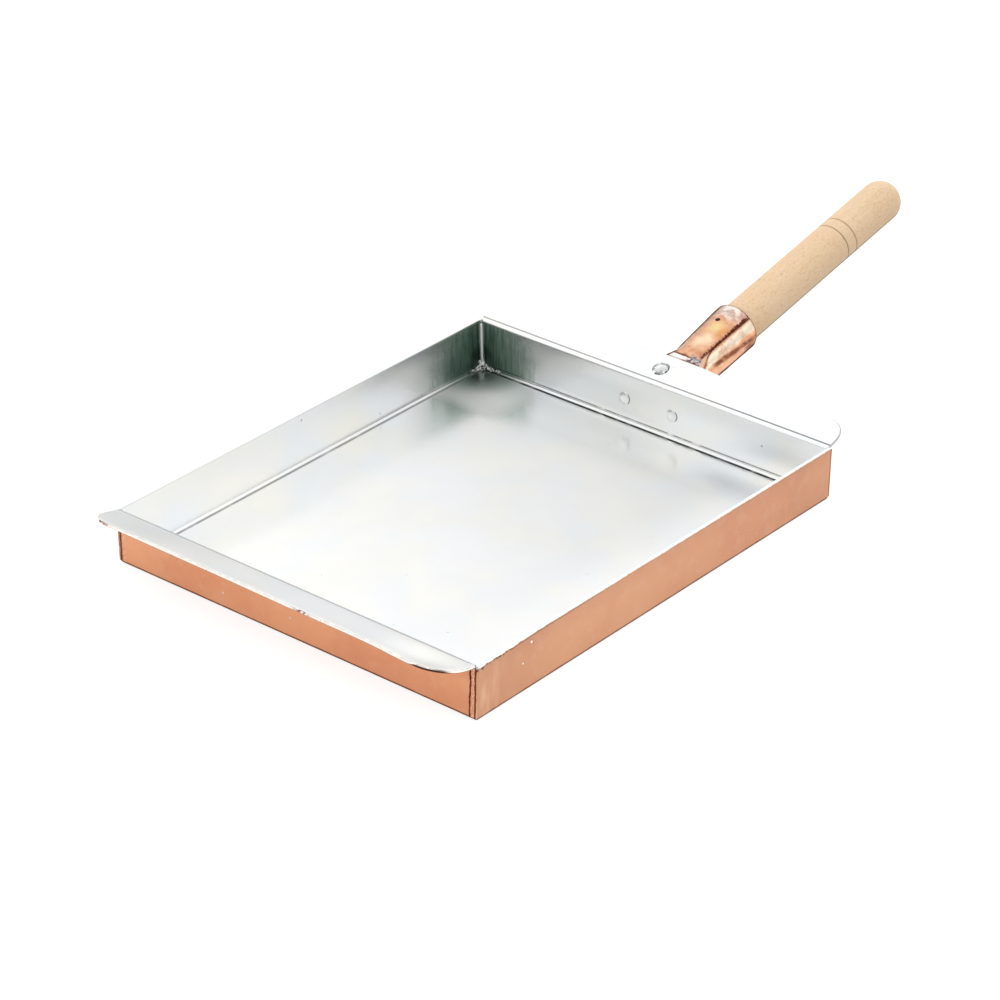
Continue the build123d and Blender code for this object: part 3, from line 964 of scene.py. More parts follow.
# %% Shader formulas
class Wire:
    """A shader socket that takes part in formulas: each operator adds one Math node."""

    def __init__(self, finish, socket):
        self.finish = finish
        self.socket = socket

    def math(self, operation, first, second=0.0):
        settings = {"operation": operation}
        return self.finish.node("ShaderNodeMath", settings, {0: first, 1: second})[0]

    def __add__(self, other):
        return self.math("ADD", self, other)

    def __sub__(self, other):
        return self.math("SUBTRACT", self, other)

    def __rsub__(self, other):
        return self.math("SUBTRACT", other, self)

    def __mul__(self, other):
        return self.math("MULTIPLY", self, other)

    def __truediv__(self, other):
        return self.math("DIVIDE", self, other)

    def __abs__(self):
        return self.math("ABSOLUTE", self)

    __radd__ = __add__
    __rmul__ = __mul__

    def root(self):
        return self.math("SQRT", self)

    def most(self, other):
        return self.math("MAXIMUM", self, other)

    def between(self, low, high):
        """0 at low, 1 at high, held outside and smooth between."""
        inputs = {"Value": self, "From Min": low, "From Max": high}
        settings = {"interpolation_type": "SMOOTHSTEP"}
        return self.finish.node("ShaderNodeMapRange", settings, inputs)["Result"]

    def near(self, place, reach, core=0.0):
        """1 within the core of a place, fading smoothly to 0 at the reach from it."""
        return abs(self - place).between(reach, core)


class Outputs:
    """The outputs of one node, by name or number."""

    def __init__(self, finish, node):
        self.finish = finish
        self.made = node

    def __getitem__(self, key):
        return Wire(self.finish, self.made.outputs[key])


def strongest(*masks):
    """The greatest of several masks at each point."""
    total = masks[0]
    for mask in masks[1:]:
        total = total.most(mask)
    return total


# %% [markdown]
# A second class builds a material. Every node comes from its one method, which takes the node's
# type, its settings and what feeds its sockets. The other methods name what the finishes need
# again and again: clouds of noise, specks, spots, coats of colour and bumps.

# %% A builder of materials
class Finish:
    """Builds the nodes of one material or of the world."""

    def __init__(self, owner):
        owner.use_nodes = True
        self.owner = owner
        self.tree = owner.node_tree
        self.tree.nodes.clear()

    def node(self, kind, settings=None, inputs=None):
        """Adds a node of a kind, sets its settings, then feeds its inputs by name or number."""
        made = self.tree.nodes.new(kind)
        for key, value in (settings or {}).items():
            setattr(made, key, value)
        for key, value in (inputs or {}).items():
            socket = made.inputs[key]
            if isinstance(value, Wire):
                self.tree.links.new(value.socket, socket)
            elif socket.type == "RGBA":
                socket.default_value = (*value, 1.0)
            else:
                socket.default_value = value
        return Outputs(self, made)

    def vector(self, operation, first, second=(0, 0, 0)):
        """Vector Math. A dot product, a length or a distance gives a value, others a vector."""
        inputs = {0: first, 1: second}
        made = self.node("ShaderNodeVectorMath", {"operation": operation}, inputs)
        is_value = operation in ("DOT_PRODUCT", "LENGTH", "DISTANCE")
        return made["Value" if is_value else "Vector"]

    def place(self):
        """The point of the surface in millimetres, in the pan's own frame."""
        point = self.node("ShaderNodeTexCoord")["Object"]
        return self.vector("MULTIPLY", point, (1 / MM, 1 / MM, 1 / MM))

    def axes(self, place):
        """The three coordinates of a place."""
        parts = self.node("ShaderNodeSeparateXYZ", None, {0: place})
        return parts["X"], parts["Y"], parts["Z"]

    def paint(self):
        """The value that mesh_piece stored at the mesh's points."""
        return self.node("ShaderNodeAttribute", {"attribute_name": "paint"})["Fac"]

    def noise(self, place, size, detail=2.0, roughness=0.5, stretch=(1, 1, 1)):
        """Cloudy value around 0.5, its blots about the size given, longer by the stretch."""
        if stretch != (1, 1, 1):
            place = self.vector("MULTIPLY", place, tuple(1 / k for k in stretch))
        inputs = {"Vector": place, "Scale": 1 / size, "Detail": detail, "Roughness": roughness}
        return self.node("ShaderNodeTexNoise", None, inputs)["Fac"]

    def specks(self, u, v, spacing, radius):
        """1 in small round specks, one per cell of about the spacing in the plane of u and v."""
        flat = self.node("ShaderNodeCombineXYZ", None, {0: u, 1: v})["Vector"]
        settings = {"feature": "F1", "voronoi_dimensions": "2D"}
        inputs = {"Vector": flat, "Scale": 1 / spacing}
        cells = self.node("ShaderNodeTexVoronoi", settings, inputs)["Distance"]
        return cells.between(radius / spacing, 0.5 * radius / spacing)

    def spot(self, place, centre, radius):
        """1 in one round spot about a centre in millimetres, soft at its border."""
        return self.vector("DISTANCE", place, centre).between(radius, 0.5 * radius)

    def mix(self, share, first, second, blend="MIX"):
        """Colour that goes from the first to the second as the share goes from 0 to 1."""
        settings = {"data_type": "RGBA", "blend_type": blend}
        return self.node("ShaderNodeMix", settings, {0: share, 6: first, 7: second})[2]

    def coats(self, colour, *coats, blend="MIX"):
        """Lays pairs of a share and a colour over a colour, one after another."""
        for share, coat in coats:
            colour = self.mix(share, colour, coat, blend)
        return colour

    def tints(self, colour, *tints):
        """The colour multiplied by other ones, each as far as its share says."""
        return self.coats(colour, *tints, blend="MULTIPLY")

    def bump(self, height, distance, normal=None):
        """Normal of a surface raised by height times a distance in millimetres."""
        inputs = {"Height": height, "Distance": distance * MM}
        if normal is not None:
            inputs["Normal"] = normal
        return self.node("ShaderNodeBump", None, inputs)["Normal"]

    def metal(self, colour, roughness, normal, dirt):
        """Ends a material in bare metal, matt and not metal where dirt and painted shade lie."""
        rough = roughness * (1 - dirt) + 0.8 * dirt
        inputs = {"Base Color": colour, "Metallic": 1 - dirt, "Roughness": rough, "Normal": normal}
        return self.principled({**inputs, "Specular IOR Level": 0.0})

    def principled(self, inputs):
        """Ends a material in a Principled shader with the inputs given."""
        shader = self.node("ShaderNodeBsdfPrincipled", None, inputs)["BSDF"]
        self.node("ShaderNodeOutputMaterial", None, {"Surface": shader})
        print(self.owner.name, "is built from", len(self.tree.nodes), "nodes")
        return self.owner


def new_finish(name):
    """The builder of a new material, and the place on the surface that most of it needs."""
    finish = Finish(bpy.data.materials.new(name))
    return finish, finish.place()


# %% [markdown]
# Wiped tin is nearly white and satin, so most of what is seen on it is the studio. The tin
# itself varies only a little: faint clouds of warm and cool grey, fine rubbing lines, a few
# pits. What reads most is dark marks. In the corners lies a dark green-grey stain with upright
# runs, partly flux and partly painted corner shade. Painted shade lines run where the floor
# meets its fillet, at the fillets' upper end and beside the far left bead, and a painted dark
# reflection runs along the folds.

# %% Tin: the stains and painted shade lines
fillet = tin_skin["high_bend"]


def corner_stain_and_shade(finish, place):
    """0 to 1 near the four inner corners, most at the far left one, with upright runs.

    Each corner's mask is the distance to it, softened and made ragged by noise. It is weaker on
    the floor. It is partly flux and partly painted shade in the corner.
    """
    z = finish.axes(place)[2]
    ragged = finish.noise(place, 14, detail=4, roughness=0.6) - 0.5
    runs = finish.noise(place, 1.3, detail=2, stretch=(1, 1, 14)) - 0.5
    torn = 0.9 * ragged + 0.5 * runs + z.between(3.2, 2.2)
    stains = []
    corners = ((-1, 1, 33, 0.95), (1, 1, 12, 0.25), (-1, -1, 12, 0.3), (1, -1, 12, 0.25))
    for side, end, size, strength in corners:
        corner = (side * (half_width - 2), end * (wall_face - 1.4), 1.0)
        offset = finish.vector("SUBTRACT", place, corner)
        far = finish.vector("LENGTH", finish.vector("MULTIPLY", offset, (1.0, 1.0, 1.1)))
        stains.append((far / size + torn).between(1.15, 0.55) * strength)
    return strongest(*stains) * z.between(24.4, 23.6)


def crease_shade_lines(finish, place):
    """Painted shade lines: at the floor's end of the fillets, and in a second mask the others.

    These are painted shade at the fillets' upper end and beside the far left corner's bead, and
    a painted dark reflection at the folds.
    """
    x, y, z = finish.axes(place)
    wall_x, wall_y = half_width - side_wall_lean - lined, wall_face - lined
    out_x, out_y = abs(x) - (wall_x - fillet), abs(y) - (wall_y - fillet)
    outermost = out_x.most(out_y)
    rear_half = y.between(0, 1)
    at_rear = (out_y - out_x).between(-0.5, 0.5) * rear_half
    # Painted shade at both ends of the fillets and beside the far left bead, and a painted dark
    # reflection in the folds.
    floor_crease_shade = (outermost + 0.1).near(0.0, 0.85, 0.5) * z.between(2.4, 1.9)
    floor_crease_shade = floor_crease_shade * (0.5 + 0.5 * at_rear)
    wall_crease_shade = z.near(lined + 1.85, 0.36, 0.18) * outermost.between(1.2, 1.5) * at_rear
    broken = finish.noise(place, 7, detail=3).between(0.28, 0.5)
    fold_out = wall_face + 0.43 - 0.08 * y.between(-1, 1)
    fold_dark_reflection = (abs(abs(y) - fold_out) - 0.12 * rear_half).between(0.36, 0.1)
    fold_dark_reflection = fold_dark_reflection * z.between(25.2, 25.4) * z.between(26.4, 26.1)
    fold_dark_reflection = fold_dark_reflection * (x - 3.5 * rear_half).between(95, 92.5)
    fold_dark_reflection = fold_dark_reflection * (1 - 0.2 * (x + 0.2 * y).between(85, 30) * rear_half)
    from_bead = (x + wall_x) + (wall_y - y)
    bead_side_shade = from_bead.near(2.1, 1.0, 0.5) * z.between(3, 6) * z.between(24.2, 23.8)
    lines = strongest(wall_crease_shade * broken * 0.8, fold_dark_reflection, bead_side_shade)
    return floor_crease_shade * (0.6 + 0.4 * broken), lines


# %% [markdown]
# Large soft tones lie under the stains, and most are painted shade. A painted shade greys the
# floor towards the rear. A grey band on it, one wall's height from the rear wall, is a painted
# reflection of the rear wall's top. The walls by the far left corner and the front flange's left
# part get painted shade. On the floor by the far left corner lies a pool, partly flux and partly
# painted shade, darkest right in the corner.

# %% Tin: the tones, mostly painted shade
def tin_tones(finish, place, on_floor):
    """Pairs of a share and the colour that it multiplies the tin's colour by."""
    x, y, z = finish.axes(place)
    # Painted shade: the floor greyer to the rear, a painted reflection band of the rear wall's top,
    # the walls and front flange by the far left, and a pool there that is partly flux.
    away_from_wall = y.between(98, 84).most(x.between(40, 60) * y.between(108, 98))
    greyer_rear_shade = (0.35 * x + y).between(-130, 130) * (0.35 + 0.65 * away_from_wall) * on_floor
    greyer_rear_shade = greyer_rear_shade * (1 - 0.6 * x.between(45, 80))
    streak = finish.noise(place, 5, detail=3, stretch=(6, 1, 1))
    rear_wall_reflection = y.near(98, 15) * x.between(22, 52) * on_floor
    shade = x.between(28, -18) * x.between(-85, -62) * y.between(110, 114)
    shade = shade * z.between(2.5, 6) * z.between(22, 14) * z.between(24.4, 24.0)
    front_flange_shade = x.between(20, -85) * y.between(-117, -119)
    left_wall_shade = x.between(-93, -95) * y.between(55, 92) * z.between(24.4, 23.6) * (1 - on_floor)
    pool_and_shade = finish.spot(place, (-93, 111, 1), 26) * on_floor
    corner_dirt_and_shade = finish.spot(place, (-95.5, 114.5, 4), 11) * (1 - 0.5 * on_floor)
    return (
        (greyer_rear_shade, (0.74, 0.745, 0.745)),
        (rear_wall_reflection * (0.5 + streak), (0.80, 0.80, 0.81)),
        (shade, (0.82, 0.83, 0.83)),
        (front_flange_shade, (0.93, 0.94, 0.935)),
        (left_wall_shade, (0.64, 0.68, 0.66)),
        (pool_and_shade * 0.85, (0.44, 0.51, 0.48)),
        (corner_dirt_and_shade * 0.85, (0.22, 0.26, 0.24)),
    )


# %% [markdown]
# The lining's finish puts these together. Bump does the rubbing lines and the slight orange
# peel of wiped metal. Dirt and painted shade make the metal matt, so a dark line stays dark
# where the tin round it mirrors the white studio. Near the far left corner a green-grey tint
# is painted shade too.

# %% Tin: the finish
pit_places = (
    (-17, 83, 1),
    (-71.7, 54.5, 1),
    (-14.3, 23.9, 1),
    (62.1, 115, 14.4),
    (-96.2, -5.3, 22.1),
)


def tin_finish(name):
    finish, place = new_finish(name)
    x, y, z = finish.axes(place)
    on_floor = z.between(4, 3)
    below_rim = z.between(24.4, 23.6)
    wide_corner = (x + 97).between(75, 30) * (117 - y).between(75, 30) * below_rim
    corner = (x + 97).between(34, 8) * (117 - y).between(34, 8) * below_rim
    corner = corner * (1 - 0.85 * on_floor)
    clouds = finish.noise(place, 46, detail=3, roughness=0.55)
    hues = finish.noise(place, 33, detail=1)
    wiped = finish.noise(place, 0.8, detail=2, stretch=(1, 1, 16))
    short = finish.noise(place, 0.7, detail=2, stretch=(1, 1, 7))
    rubbed = finish.noise(place, 0.9, detail=2, stretch=(1, 16, 1))
    peel = finish.noise(place, 5, detail=2)
    stain_and_shade = corner_stain_and_shade(finish, place)
    floor_crease_shade, other_shade_lines = crease_shade_lines(finish, place)
    upright = wiped.between(0.46, 0.62) * corner * (1 - on_floor)
    specks = finish.specks(x + 0.4 * z, y + 0.7 * z, 38, 0.36)
    pits = strongest(specks, *[finish.spot(place, centre, 0.75) for centre in pit_places])
    pale = finish.mix(clouds.between(0.3, 0.7), (0.915, 0.92, 0.915), (0.96, 0.96, 0.955))
    hue = finish.mix(hues.between(0.35, 0.65), (1.0, 0.992, 0.965), (0.968, 0.985, 1.0))
    # The stain and the corner tint are partly flux and partly painted shade; the two line masks are
    # painted shade at the creases and a painted dark reflection in the folds.
    colour = finish.tints(
        pale,
        (1.0, hue),
        *tin_tones(finish, place, on_floor),
        (stain_and_shade, (0.36, 0.47, 0.41)),
        (corner, (0.84, 0.94, 0.89)),
        (upright * 0.6, (0.30, 0.36, 0.33)),
        (floor_crease_shade, (0.07, 0.075, 0.08)),
        (other_shade_lines, (0.30, 0.31, 0.32)),
        (pits * 0.6, (0.30, 0.25, 0.21)),
    )
    roughness = 0.19 + 0.06 * clouds.between(0.3, 0.7) + 0.05 * (rubbed - 0.5) + 0.06 * corner
    normal = finish.bump(rubbed * on_floor, 0.004)
    normal = finish.bump(wiped * (1 - on_floor) * (0.25 + wide_corner + corner), 0.02, normal)
    normal = finish.bump(short * (1 - on_floor) * wide_corner, 0.03, normal)
    normal = finish.bump(peel, 0.015, normal)
    close = x.between(-76, -90) * y.between(92, 106)
    matt = x.between(-52, -68) * y.between(74, 86) * (1 - 0.85 * close) * z.between(1.9, 1.6)
    # Dirt and painted shade make the metal matt.
    dirt_and_shade = strongest(floor_crease_shade, other_shade_lines * 0.7, stain_and_shade * 0.2, matt * 0.42)
    return finish.metal(colour, roughness, normal, dirt_and_shade)


wiped_tin = tin_finish("wiped tin")

# %% [markdown]
# The rivets are copper, tinned over with the pan. The flange rivet's head gets a broken ring of
# painted shade just inside its rim and a painted shade on the near side of its dome, and each
# wall rivet gets a painted shade crescent on its right.

# %% Tinned rivets
def rivet_finish(name):
    finish, place = new_finish(name)
    x, y, z = finish.axes(place)
    ring = finish.paint()
    blots = finish.noise(place, 3.4, detail=2)
    fine = finish.noise(place, 1.1, detail=2)
    on_flange_side = z.between(20, 22)
    # Painted shade: the broken ring and the dish of the flange rivet, the near side of its dome,
    # and a crescent on the right of each wall rivet.
    ring_breaks = (blots + 0.25 * (fine - 0.5)).between(0.60, 0.50)
    brim = ring.near(0.97, 0.16, 0.09) * on_flange_side * ring_breaks
    dish_shade = ring.near(0.74, 0.13, 0.04) * on_flange_side * ring_breaks
    right = (x - wall_rivet_reach * x.math("SIGN", x)).between(1.2, 2.2) * (1 - on_flange_side)
    crescent_shade = ring.near(0.93, 0.16) * right
    dirt_and_shade = strongest(brim, dish_shade * 0.6, crescent_shade * 0.8)
    near_side_shade = (x - (y - 124)).between(-0.5, 2.5) * on_flange_side * ring.between(0.75, 0.65)
    behind = y.between(wall_face + 0.5, wall_face + 0.9) * ring.between(0, -0.1)
    colour = finish.mix(blots.between(0.35, 0.65), (0.84, 0.845, 0.84), (0.92, 0.92, 0.915))
    colour = finish.tints(colour, (dirt_and_shade, (0.14, 0.15, 0.16)), (near_side_shade, (0.76, 0.765, 0.77)))
    colour = finish.mix(behind, colour, (0.72, 0.33, 0.19))
    normal = finish.bump(fine, 0.05)
    return finish.metal(colour, 0.22 + 0.1 * blots, normal, dirt_and_shade * 0.8)


tinned_rivet = rivet_finish("tinned rivet")

# %% [markdown]
# Solder is the same metal as the tinning but froze untouched. It is brighter and smoother than
# the wiped tin and grainy at the scale of a fingertip. Low down, the gaps between its grains are
# painted near-black as shade.

# %% Solder
def solder_finish(name):
    finish, place = new_finish(name)
    grains = finish.noise(place, 1.1, detail=3, roughness=0.6)
    blots = finish.noise(place, 2.2, detail=2)
    low = finish.axes(place)[2].between(6, 3)
    # Low down, the gaps between the grains are painted near-black shade.
    shown = grains.between(0.45, 0.53).most(1 - low)
    colour = finish.mix(shown, (0.05, 0.06, 0.055), (0.97, 0.98, 0.96))
    colour = finish.tints(colour, (blots.between(0.45, 0.35) * low, (0.4, 0.43, 0.4)))
    normal = finish.bump(grains * (0.15 + low), 0.22)
    frosted_and_shaded = 0.9 - 0.65 * shown
    return finish.metal(colour, 0.14 + 0.16 * grains, normal, frosted_and_shaded)


frozen_solder = solder_finish("frozen solder")

# %% [markdown]
# The outside is bare copper, rolled and then pickled to a satin salmon. Its tone drifts between
# pink and orange in long clouds. Tin ran over the rim here and there with a ragged border, and
# left bright specks. Along the laps run thin dark lines: the joint's border with a painted
# shadow, a painted dark reflection in the corner's bend, and a painted shadow under the
# flange's end. The sheared edge was wiped with tin too, which the mesh marks with its paint
# attribute, and a painted shadow lies along its lower part.

# %% Copper: marks that belong to places
def from_side_wall(x, z):
    """Distance inwards from a side wall's outer face, which leans."""
    return half_width - side_wall_lean * (1 - z / body_height) - abs(x)


def lap_lines_and_shade(finish, place):
    """1 on the dark lines of the four laps: along the inner border, the corner and the top."""
    x, y, z = finish.axes(place)
    sway = finish.noise(place, 1.8, detail=3, roughness=0.7, stretch=(1, 1, 1.5)) - 0.5
    inwards = from_side_wall(x, z)
    on_end = abs(y).between(wall_face - 0.6, wall_face - 0.2)
    front_left = y.between(0, -1) * x.between(0, -1)
    width = lap_width - front_left_narrower * front_left
    # The border is a dark joint line with painted shadow, the fold line a painted dark reflection
    # of the corner's bend, and the top a painted shadow under the flange's end.
    border = (inwards - width + 1.8 * sway).near(0.1, 0.8, 0.2) * (1 - 0.45 * front_left)
    fold = (inwards + 1.1 * sway).near(0.75, 0.65, 0.15) * (1 - front_left)
    top = z.near(24.4, 0.7, 0.4) * (inwards - width).between(0.4, 0.0) * (1 - front_left)
    return strongest(border, fold * 0.9, top) * on_end * z.between(24.95, 24.85)


def tin_over_rim(finish, place):
    """1 where tin ran down over the rim of a side wall, and 1 on the dark line below it."""
    x, y, z = finish.axes(place)
    long_wave = finish.noise(place, 26, detail=2)
    teeth = finish.noise(place, 2.0, detail=3, roughness=0.7)
    dashes = finish.noise(place, 1.2, detail=1).between(0.46, 0.54)
    drop = (0.10 + 0.55 * long_wave + 1.1 * (teeth - 0.5)) * (0.8 + 2.0 * y.between(-78, -108))
    below = body_height - z - drop
    on_side = abs(x).between(half_width - 1.0, half_width - 0.6)
    at_corner = y.between(-88, -104)
    inked = below.near(0.45, 0.75, 0.2) * (0.35 - 0.25 * at_corner + 0.9 * dashes * at_corner)
    inked = inked * (0.25 + 0.75 * y.between(-20, -70))
    return below.between(0.08, -0.08) * on_side, inked * on_side


def cut_edge(finish, place):
    """The sheared edge: the share that tin covers, its colour, and 1 on its painted shadow."""
    x, y, _ = finish.axes(place)
    up = finish.paint()
    chips = finish.noise(place, 2.4, detail=3, roughness=0.65)
    in_front = y.between(0, -1)
    scuffed = x.near(22, 7) * in_front
    at_scuffs = chips.between(0.46, 0.52) * x.between(-80, -90).most(scuffed)
    chipped = chips.between(0.66, 0.7).most(at_scuffs)
    wiped = finish.mix(chips.between(0.35, 0.6), (0.93, 0.83, 0.74), (0.95, 0.92, 0.88))
    at_rear_right = x.between(84, 88) * y.between(0, 1)
    wiped = finish.coats(wiped, (chipped, (0.22, 0.08, 0.05)), (at_rear_right, (0.50, 0.50, 0.51)))
    # A painted shadow lies on the edge's lower part, reaching higher near the front right corner.
    wider_shadow = x.between(77, 82) * x.between(96, 91) * in_front
    height = up - 0.26 * wider_shadow
    dark = up.between(0.12, 0.3) * height.between(0.57, 0.45) * (0.25 + 0.75 * wider_shadow)
    return height.between(0.45, 0.57), wiped, dark


# %% [markdown]
# The finish lays all this over the copper, from the oldest to the newest: clouds and handling,
# a painted shade below the top, a painted shadow line at the foot, drops of tin with a dark
# border, the laps, and the wiped edge. The side walls are tinted cooler than the end walls, and
# darker towards their ends. Where a mark is dark it is also matt.

# %% Copper: the finish
# Each splash of tin is a place and how strongly it shows.
splashes = (
    ((97.4, -88.4, 13.5), 1),
    ((97.4, -83.5, 21.2), 1),
    ((-38, -116.4, 7.4), 0.4),
    ((-1, -116.4, 9.7), 0.3),
)


def copper_finish(name):
    finish, place = new_finish(name)
    x, y, z = finish.axes(place)
    clouds = finish.noise(place, 34, detail=3, roughness=0.5)
    mottle = finish.noise(place, 7, detail=4, roughness=0.6)
    fine = finish.noise(place, 1.1, detail=2)
    pale = finish.noise(place, 4, detail=2, stretch=(1, 1, 5)).between(0.4, 0.7)
    grains = finish.noise(place, 0.7, detail=2).between(0.52, 0.66)
    on_side = abs(x).between(half_width - 1.0, half_width - 0.7)
    # Painted shade below the walls' top, most on the end walls, and a painted shadow line at the
    # foot.
    upper = (z + 5 * (clouds - 0.5)).between(15, 24.5) * (0.35 + 0.65 * (1 - on_side))
    foot = (z + 0.6 * (mottle - 0.5)).between(1.75, 1.25)
    corner = y.between(-96, -114) * x.between(96, 97)
    halos = [finish.spot(place, centre, 1.3) * strength for centre, strength in splashes]
    cores = [finish.spot(place, centre, 0.85) * strength for centre, strength in splashes]
    dark = strongest(finish.specks(x + y, z, 26, 0.35) * 0.5, *halos)
    on_lap = from_side_wall(x, z).between(lap_width, lap_width - 0.3) * (1 - on_side)
    # The laps' lines hold painted shadow and a painted reflection, and the sheared edge's lower
    # part gets a painted shadow.
    lap = lap_lines_and_shade(finish, place)
    tinned, inked = tin_over_rim(finish, place)
    covered, wiped, shadow_under_edge = cut_edge(finish, place)
    colour = finish.mix(clouds.between(0.3, 0.7), (0.68, 0.300, 0.168), (0.755, 0.365, 0.205))
    colour = finish.coats(
        colour,
        (mottle.between(0.45, 0.75) * 0.35, (0.79, 0.43, 0.29)),
        (fine.between(0.55, 0.8) * 0.25, (0.60, 0.26, 0.15)),
    )
    colour = finish.tints(
        colour,
        (on_side, (0.84, 0.90, 0.91)),
        (abs(y).between(60, 105) * on_side, (0.93, 0.92, 0.92)),
        (1 - on_side, (0.92, 0.89, 0.84)),
        (upper, (0.80, 0.76, 0.76)),
    )
    colour = finish.coats(
        colour,
        (foot, (0.34, 0.14, 0.075)),
        (corner * pale * 0.4, (0.80, 0.57, 0.38)),
        (dark * 0.6, (0.25, 0.12, 0.08)),
        (strongest(*cores), (0.96, 0.90, 0.82)),
        (on_lap * 0.3, (0.62, 0.22, 0.11)),
        (on_lap * grains * 0.7, (0.90, 0.62, 0.48)),
        (lap * 0.92, (0.11, 0.028, 0.014)),
        (inked * 0.85, (0.16, 0.10, 0.08)),
        (tinned, (0.90, 0.89, 0.87)),
        (covered, wiped),
        (shadow_under_edge, (0.10, 0.045, 0.035)),
    )
    roughness = 0.27 + 0.10 * clouds.between(0.3, 0.7) + 0.08 * (mottle - 0.5)
    normal = finish.bump(finish.noise(place, 0.8, detail=2, stretch=(1, 10, 1)), 0.004)
    normal = finish.bump(finish.noise(place, 11, detail=2), 0.05, normal)
    dirt_and_shade = strongest(lap, foot * 0.8, inked * (1 - tinned) * 0.8, shadow_under_edge * 0.9)
    return finish.metal(colour, roughness, normal, dirt_and_shade)


copper_sheet = copper_finish("copper sheet")

# %% [markdown]
# The socket went through the flame when it was soldered, so its copper shows heat colours:
# golden by the nail and a rosy tint at the mouth, and tin ran out from under the flange. A brown
# streak runs down the right leaf. Among these lie painted light and shade: a pale pink and blue
# painted sheen at the mouth, a pale painted highlight along the right leaf, a cream painted
# highlight on the top, painted shade on the left flank and at the lower right by the mouth. The
# colours are placed along the handle and round it, so the finish first works out how far along
# and at which angle a point lies.

# %% Socket: heat colours and painted light
def handle_places(finish, place):
    """A place in the handle's own directions: s along it, x to the right and h up from it."""
    offset = finish.vector("SUBTRACT", place, tuple(handle_start))
    s = finish.vector("DOT_PRODUCT", offset, tuple(handle_along))
    h = finish.vector("DOT_PRODUCT", offset, tuple(handle_up))
    return s, finish.axes(offset)[0], h


def heat_and_light_coats(finish, place, s, angle, clouds, blots):
    """The flame's colours with painted light and shade, as pairs of a share and a colour, and
    the mask of the brown streaks and the painted shade at the lower right.

    Each patch is a stretch of s times a stretch of angle in degrees. The same noise moves
    both, so that no patch has a straight border.
    """
    sway = 26 * (clouds - 0.5)
    s_soft, angle_soft = s + 0.35 * sway, angle + 1.2 * sway
    streaky = finish.noise(place, 2.4, detail=3, stretch=(1, 2, 1))
    cream_highlight = s_soft.near(37, 9) * angle_soft.near(15, 26)
    gold = s_soft.near(47, 7) * angle_soft.near(13, 26)
    amber = s_soft.near(45, 6) * angle_soft.near(32, 14)
    painted_sheen = s_soft.between(52, 58) * angle_soft.near(6, 60)
    sheen_colour = finish.mix(blots.between(0.42, 0.56), (0.60, 0.47, 0.42), (0.95, 0.90, 0.84))
    rosy = s_soft.between(55, 60) * angle_soft.near(34, 12)
    leaf_highlight = (angle + 0.4 * sway).near(62, 18, 6) * s_soft.between(68, 60)
    leaf = finish.mix(clouds.between(0.42, 0.6), (1.0, 0.88, 0.68), (0.80, 0.48, 0.33))
    leaf = finish.mix(streaky.between(0.52, 0.68) * 0.6, leaf, (0.95, 0.92, 0.80))
    from_streak = angle + 0.3 * sway - (80 + 0.5 * (s - 36))
    brown = from_streak.near(0, 10, 2) * s_soft.between(27, 36)
    # Painted shade at the lower right by the mouth.
    brown = brown.most((angle + 0.3 * sway).near(110, 20, 6) * s_soft.between(51, 58))
    tawny = angle_soft.near(112, 20) * s_soft.between(56, 46)
    # The first coat is painted shade on the left flank; cream and the pale leaf are painted
    # highlights and the sheen is a painted sheen.
    coats = (
        (angle_soft.between(5, -30) * 0.6, (0.60, 0.39, 0.28)),
        (cream_highlight * 0.85, (1.0, 0.80, 0.56)),
        (gold * 0.9, (0.90, 0.70, 0.34)),
        (amber * 0.8, (0.74, 0.35, 0.13)),
        (painted_sheen * 0.9, sheen_colour),
        (rosy * 0.7, (0.56, 0.36, 0.31)),
        (leaf_highlight * 0.95, leaf),
        (brown * (0.55 + 0.45 * streaky.between(0.4, 0.5)), (0.26, 0.085, 0.04)),
        (tawny * 0.6, (0.80, 0.46, 0.27)),
    )
    return coats, brown


# %% [markdown]
# Dirt, tin and painted shade lie over the heat colours. The seam is full of dark flux. A white
# apron of tin ends in a wavy border near the flange, and grey and dark freckles lie beside it.
# The sheet's cut edge at the mouth is a dark line. Painted shade lines run down the tube's two
# outer sides, where the eye looks along the copper, and along the lip, and a painted shadow line
# lies on the leaf under the flange's edge.

# %% Socket: dirt, tin and painted shade
# Unit directions along which the painted shadow under the flange's edge and the lip's painted
# shade line each lie level.
sill_shadow_up = (0, 0.585, 0.811)
lip_up = (-0.608, 0.063, 0.793)


